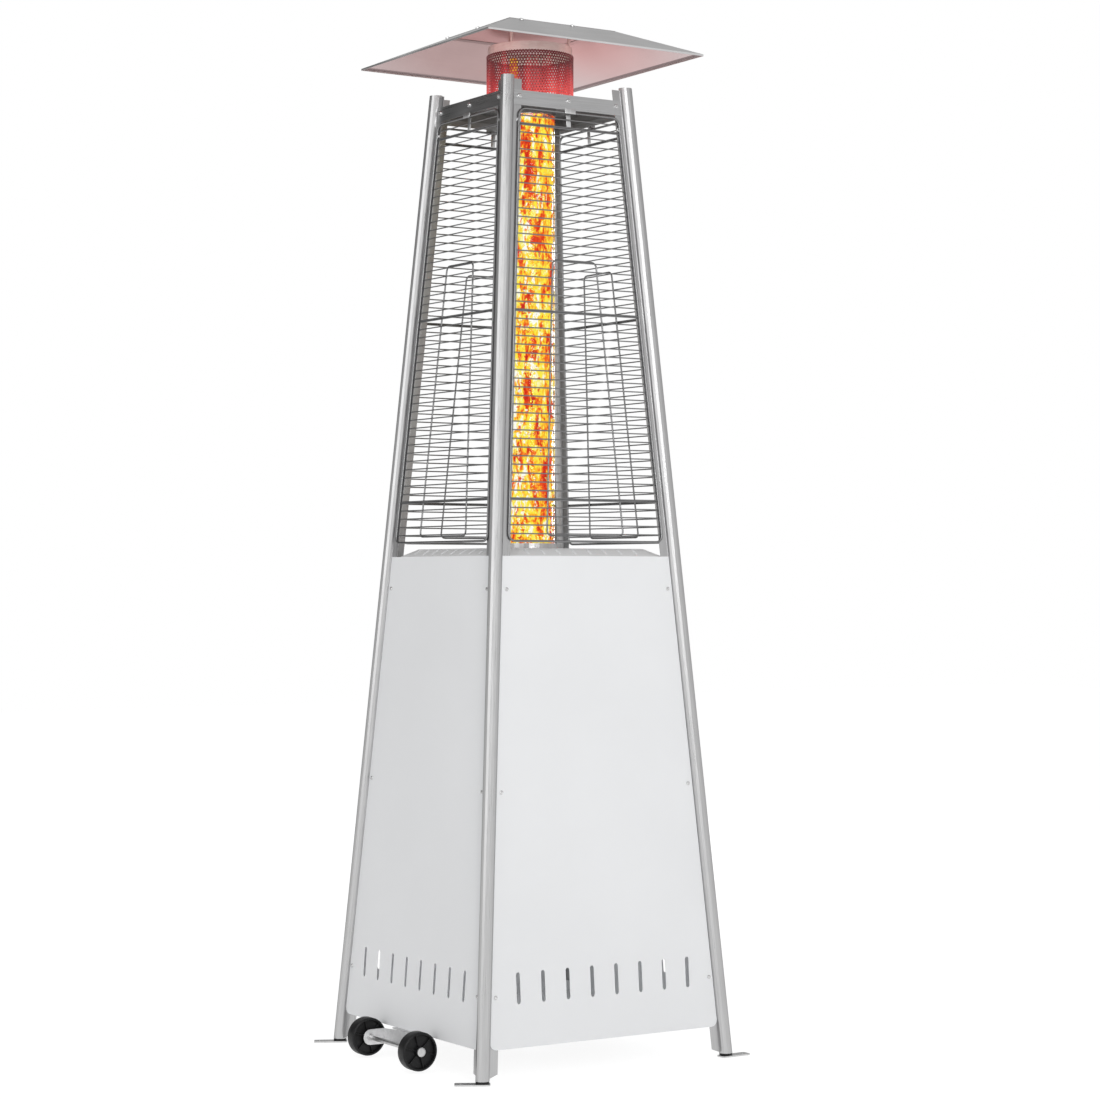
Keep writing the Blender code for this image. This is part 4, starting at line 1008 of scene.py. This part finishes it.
def wheel_pattern():
    """A moulded wheel about x: a tread with soft shoulders, dished sides, hub with a bore."""
    wheel = begin(
        "wheel_pattern",
        bpy.ops.mesh.primitive_cylinder_add,
        vertices=64,
        radius=WHEEL_R,
        depth=WHEEL_HALF * 2,
        rotation=(0, math.radians(90), 0),
    )
    pick(wheel, "FACE", lambda face: abs(face.normal.x) > STRAIGHT and len(face.verts) > CAP_CORNERS)
    bpy.ops.mesh.inset(thickness=RIM)
    bpy.ops.mesh.inset(thickness=DRAFT)
    bpy.ops.transform.resize(value=((WHEEL_HALF - DISH) / WHEEL_HALF, 1, 1))
    bpy.ops.mesh.inset(thickness=WHEEL_R - RIM - DRAFT - HUB_R)
    bpy.ops.mesh.inset(thickness=DRAFT)
    bpy.ops.transform.resize(value=((WHEEL_HALF - HUB_STEP) / (WHEEL_HALF - DISH), 1, 1))
    bpy.ops.mesh.inset(thickness=HUB_R - DRAFT - BORE_R)
    bpy.ops.mesh.bridge_edge_loops()
    round_wheel_edges(wheel, SHOULDER, 4, lambda radius: radius > WHEEL_R - SHOULDER_SLACK)
    round_wheel_edges(wheel, RIM_ROUND, 2, lambda radius: abs(radius - WHEEL_R + RIM) < RIM_SLACK)
    return wheel


def wheel_ribs():
    """Ribs from hub to rim in both dishes of the wheel that is open for editing."""
    inner, outer = HUB_R - RIB_IN_HUB, WHEEL_R - RIM - RIB_IN_RIM
    middle = (inner + outer) / 2
    for index in range(RIBS):
        turn = 2 * math.pi * (index + FIRST_RIB_SHARE) / RIBS
        for side in (-1, 1):
            out = side * (WHEEL_HALF - DISH + RIB_RISE)
            bpy.ops.mesh.primitive_cube_add(
                size=1,
                location=(out, middle * math.cos(turn), middle * math.sin(turn)),
                rotation=(turn, 0, 0),
                scale=(RIB_DEPTH, outer - inner, RIB_WIDTH),
            )


def wheels():
    wheel = wheel_pattern()
    wheel_ribs()
    close(wheel, smooth=40)
    for name, sign in (("left", -1), ("right", 1)):
        place = Matrix.Translation((sign * WHEEL_CENTRE, AXLE_OUT, AXLE_HEIGHT))
        copy = repeat(wheel, "moulded_wheel_" + name, place)
        fit(copy, BLACK, body=name + "_wheel", stands_for=["wheel_" + name])
    scrap(wheel)


# Burner deck

LOUVRES = 8
LOUVRE_PITCH = 0.040
LOUVRE_FIRST = -0.140
LOUVRE_SIZE = (0.0076, 0.0235, 0.0034)
LOUVRE_TOP_SHARES = (0.45, 0.80, 1)
LOUVRE_ROUND = 0.0006
LOUVRE_LIFT = 0.0009
LOUVRE_RISE = 0.017
LOUVRE_RUN = 0.028


def deck_louvres():
    """Pressed hoods over the slits in the deck's sloping edge."""
    inner, outer, low, high = DECK_SLOPE
    louvre = begin("louvre_pattern", bpy.ops.mesh.primitive_cube_add, size=1, scale=LOUVRE_SIZE)
    pick(louvre, "FACE", lambda face: face.normal.z > STRAIGHT)
    bpy.ops.transform.resize(value=LOUVRE_TOP_SHARES)
    bpy.ops.mesh.select_all(action="SELECT")
    bpy.ops.mesh.bevel(offset=LOUVRE_ROUND, segments=2, affect="EDGES")
    close(louvre, smooth=50)
    tilt = Matrix.Rotation(-math.atan2(LOUVRE_RISE, LOUVRE_RUN), 4, "X")
    for turn, side in enumerate(("rear", "left", "front", "right")):
        row = []
        for index in range(LOUVRES):
            across = LOUVRE_PITCH * index + LOUVRE_FIRST
            seat = (across, (inner + outer) / 2, (low + high) / 2 + LOUVRE_LIFT)
            place = quarter_turns(turn) @ Matrix.Translation(seat)
            row.append(repeat(louvre, "louvre", place @ tilt))
        fit(gather(row, "deck_louvres_" + side), WHITE)
    scrap(louvre)


# Hood details

# How far a hood panel falls for each metre out
HOOD_FALL = (HOOD_DROP - HOOD_SHEET) / (HOOD_RIM_HALF - HOOD_FLAT_HALF)

HEM_OUTER_GAP = 0.0022
HEM_INNER_GAP = 0.0086
HEM_DROP = 0.0012
HEM_MITRE = 0.0006
HEM_SHEET = 0.0009
HOOD_SCREW_R = 0.0048
HOOD_SCREW_HEIGHT = 0.0026
HOOD_SCREW_OUT = 0.0095
HOOD_SCREW_SINK = 0.0002
HOOD_SCREWS_ACROSS = (-0.114, 0.0175)


def hood_hems():
    """The folded border inside the rim of each hood panel."""
    corners = []
    for gap in (HEM_OUTER_GAP, HEM_INNER_GAP):
        half = HOOD_RIM_HALF - gap
        height = HOOD_UNDER - (half - HOOD_FLAT_HALF) * HOOD_FALL - HEM_DROP
        corners += [(-half + HEM_MITRE, -half, height), (half - HEM_MITRE, -half, height)]
    hem = begin("hem_pattern", bpy.ops.mesh.primitive_plane_add, size=1)
    set_corners(hem, corners)
    bpy.ops.mesh.select_all(action="SELECT")
    push((0, 0, HEM_SHEET))
    close(hem)
    # The hems wear the darker steel that paints the shade and the fire's glow under the rim
    for turn, side in enumerate(OUTWARD):
        fit(repeat(hem, "hood_hem_" + side, quarter_turns(turn)), HEM_STEEL_PAINTED_SHADE)
    scrap(hem)


def hood_screws():
    """Two screws along the upper edge of each sloping hood panel."""
    screw = screw_pattern("hood_screw", HOOD_SCREW_R, HOOD_SCREW_HEIGHT)
    beside = HOOD_FLAT_HALF + HOOD_SCREW_OUT
    height = HOOD_UNDER + HOOD_SHEET - HOOD_SCREW_OUT * HOOD_FALL - HOOD_SCREW_SINK
    tilt = Matrix.Rotation(math.atan(HOOD_FALL), 4, "X")
    heads = []
    for across in HOOD_SCREWS_ACROSS:
        for turn in range(4):
            place = quarter_turns(turn) @ Matrix.Translation((across, -beside, height))
            heads.append(repeat(screw, "head", place @ tilt))
    fit(gather(heads, "hood_screws"), SCREW_STEEL)
    scrap(screw)


# Marks on the front

KNOB_HEIGHT = 0.985
KNOB_FACE = 0.03415
DIAL_R = 0.0315
DIAL_MARKS = 7
BAR_WIDTH = 0.0018
FIRST_BAR = 0.0034
BAR_GROWTH = 0.0006
BAR_THICK = 0.00014
POINTER_WIDTH = 0.0024
POINTER_LENGTH = 0.0115
POINTER_THICK = 0.0003
POINTER_RISE = 0.0105
PRINT_LIFT = 0.0001
PRINT_ROUND_SHARE = 0.3


def printed_mark(name, across, height, width, length, thick, turn=0.0):
    """A thin printed bar with softened corners, lying in the plane of a face."""
    mark = begin(
        name,
        bpy.ops.mesh.primitive_cube_add,
        size=1,
        location=(across, height, 0),
        rotation=(0, 0, turn),
        scale=(width, length, thick),
    )
    pick(mark, "EDGE", lambda edge: abs(edge.verts[0].co.z - edge.verts[1].co.z) > thick / 2)
    bpy.ops.mesh.bevel(offset=width * PRINT_ROUND_SHARE, segments=2, affect="EDGES")
    return close(mark)


def dial():
    """Bars that grow from low to high round the knob, and the pointer on its grip."""
    bars = []
    for index in range(DIAL_MARKS):
        turn = math.pi / 2 - math.pi * index / (DIAL_MARKS - 1)
        length = FIRST_BAR + BAR_GROWTH * index
        reach = DIAL_R + length / 2
        across, height = reach * math.cos(turn), reach * math.sin(turn)
        upright = turn - math.pi / 2
        bars.append(printed_mark("bar", across, height, BAR_WIDTH, length, BAR_THICK, upright))
    bars = gather(bars, "dial_bars")
    bars.data.transform(square_to("front", 0, KNOB_HEIGHT, SKIN_OUT + PRINT_LIFT))
    fit(bars, INK)
    sizes = POINTER_WIDTH, POINTER_LENGTH, POINTER_THICK
    pointer = printed_mark("knob_pointer", 0, POINTER_RISE, *sizes)
    on_grip = Matrix.Translation((0, 0, KNOB_FACE + PRINT_LIFT))
    pointer.data.transform(square_to("front", 0, KNOB_HEIGHT, 0) @ on_grip)
    fit(pointer, MARK, body="knob")


# Camera, floor and light

CAMERA_LENS = 88.085
CAMERA_SENSOR = 36.0
CAMERA_SIGHT = 60.0
CAMERA_PLACE = (-5.10129, 3.20204, 1.05071)
CAMERA_WAY = Vector((0.84294, -0.53790, 0.01057))

# The middle of the heater, which every light panel faces
LIT_MIDDLE = Vector((0, 0, 1.1))

# The room lights the heater less brightly than it is seen
ROOM_LIGHT = 0.55

# What metal mirrors: the studio loses or gains these shares where a direction crosses a span
DIM_SHARE = 0.42
DIM_SPAN = (0.02, 0.30)
CEILING_GAIN = 1.16
CEILING_SPAN = (0.36, 0.60)
UNLIT_SHARE = 0.92
UNLIT_SPAN = (0.85, 0.94)
UNLIT_WAY = (0.76, 0.46, 0.46)

FLOOR_SIZE = 30
FLOOR_GAP = 0.0005


def set_up(name, data, place):
    """A camera or a lamp, put in its place."""
    holder = bpy.data.objects.new(name, data)
    bpy.context.scene.collection.objects.link(holder)
    holder.location = place
    return holder


def place_camera():
    camera = bpy.data.cameras.new("photo_camera")
    camera.lens = CAMERA_LENS
    camera.sensor_width = CAMERA_SENSOR
    camera.clip_end = CAMERA_SIGHT
    holder = set_up("photo_camera", camera, CAMERA_PLACE)
    holder.rotation_euler = CAMERA_WAY.to_track_quat("-Z", "Y").to_euler()
    bpy.context.scene.camera = holder


def light_panel(name, place, width, height, power, in_metal=False):
    """A soft light that faces the heater, and is mirrored in metal only where in_metal is set."""
    light = bpy.data.lights.new(name, "AREA")
    light.shape = "RECTANGLE"
    light.size = width
    light.size_y = height
    light.energy = power
    holder = set_up(name, light, place)
    holder.rotation_euler = (LIT_MIDDLE - Vector(place)).to_track_quat("-Z", "Y").to_euler()
    holder.visible_glossy = in_metal


def glow(name, place, radius, colour, power):
    """A small round lamp for light that the heater makes or lets in."""
    light = bpy.data.lights.new(name, "POINT")
    light.shadow_soft_size = radius
    light.color = colour
    light.energy = power
    holder = set_up(name, light, place)
    holder.visible_camera = False
    holder.visible_glossy = False


def seen_directly(tree):
    """1 for what the camera sees, by itself, in a reflection or through glass."""
    path = add_node(tree, "LightPath").outputs
    seen = combine(tree, "MAXIMUM", path["Is Camera Ray"], path["Is Glossy Ray"])
    return combine(tree, "MAXIMUM", seen, path["Is Transmission Ray"])


def studio_in_metal(tree):
    """What metal mirrors: a studio that dims upwards, with a bright ceiling and an unlit patch."""
    where = add_node(tree, "TexCoord").outputs["Generated"]
    rise = add_node(tree, "SeparateXYZ", {0: where}).outputs["Z"]
    dimmer = spread_to(tree, rise, 0.0, DIM_SHARE, DIM_SPAN)
    ceiling = spread_to(tree, rise, 1.0, CEILING_GAIN, CEILING_SPAN)
    unlit = spread_to(tree, along(tree, where, UNLIT_WAY), 0.0, UNLIT_SHARE, UNLIT_SPAN)
    left = combine(tree, "SUBTRACT", ceiling, dimmer)
    left = combine(tree, "MULTIPLY", left, combine(tree, "SUBTRACT", 1.0, unlit))
    missing = combine(tree, "SUBTRACT", 1.0, left)
    mirrored = add_node(tree, "LightPath").outputs["Is Glossy Ray"]
    missing = combine(tree, "MULTIPLY", missing, mirrored)
    return combine(tree, "SUBTRACT", 1.0, missing)


def white_room():
    """A world that is seen as white, lights more dimly, and shows metal its own studio."""
    world = bpy.data.worlds.new("white_room")
    bpy.context.scene.world = world
    world.use_nodes = True
    tree = world.node_tree
    tree.nodes.clear()
    strength = spread_to(tree, seen_directly(tree), ROOM_LIGHT, 1.0, WHOLE_SPAN)
    strength = combine(tree, "MULTIPLY", strength, studio_in_metal(tree))
    background = add_node(tree, "Background", {"Color": rgba((1, 1, 1)), "Strength": strength})
    add_node(tree, "OutputWorld", {"Surface": background.outputs[0]})
    bpy.context.scene.view_settings.view_transform = "Standard"


def light_the_room():
    light_panel("key_light", (-5.6, 1.7, 3.0), width=1.8, height=3.2, power=138, in_metal=True)
    light_panel("side_light", (-0.4, 5.6, 2.6), width=2.6, height=3.8, power=42, in_metal=True)
    light_panel("front_light", (3.6, -4.6, 2.6), width=2.2, height=3.2, power=138)
    glow("fire_in_drum", (0, 0, 2.160), radius=0.030, colour=(1.0, 0.25, 0.18), power=1.2)
    glow("daylight_in_bay", (0, 0, 0.55), radius=0.08, colour=(1.0, 1.0, 1.0), power=1.0)
    white_room()


def lay_floor():
    """A pale floor that is seen as white and keeps a faint shadow of the heater."""
    seat = (0, 0, -FLOOR_GAP)
    floor = begin("studio_floor", bpy.ops.mesh.primitive_plane_add, size=FLOOR_SIZE, location=seat)
    close(floor)
    finish, tree, shader = new_finish("white_floor")
    tree.nodes.remove(shader)
    pale = add_node(tree, "BsdfDiffuse", {"Color": rgba((0.8, 0.8, 0.8))})
    faint = add_node(tree, "BsdfDiffuse", {"Color": rgba((0.2, 0.2, 0.2))})
    white = add_node(tree, "Emission", {"Strength": 0.9})
    both = add_node(tree, "AddShader", {0: white.outputs[0], 1: faint.outputs[0]})
    inputs = {"Fac": seen_directly(tree), 1: pale.outputs[0], 2: both.outputs[0]}
    show(tree, add_node(tree, "MixShader", inputs).outputs[0])
    floor.data.materials.append(finish)


place_camera()
light_the_room()
lay_floor()
dress_the_frame()
wire_guards()
clips_and_screws()
perforated_screen()
emitter_edges()
flames()
deck_louvres()
wheels()
hood_hems()
hood_screws()
dial()
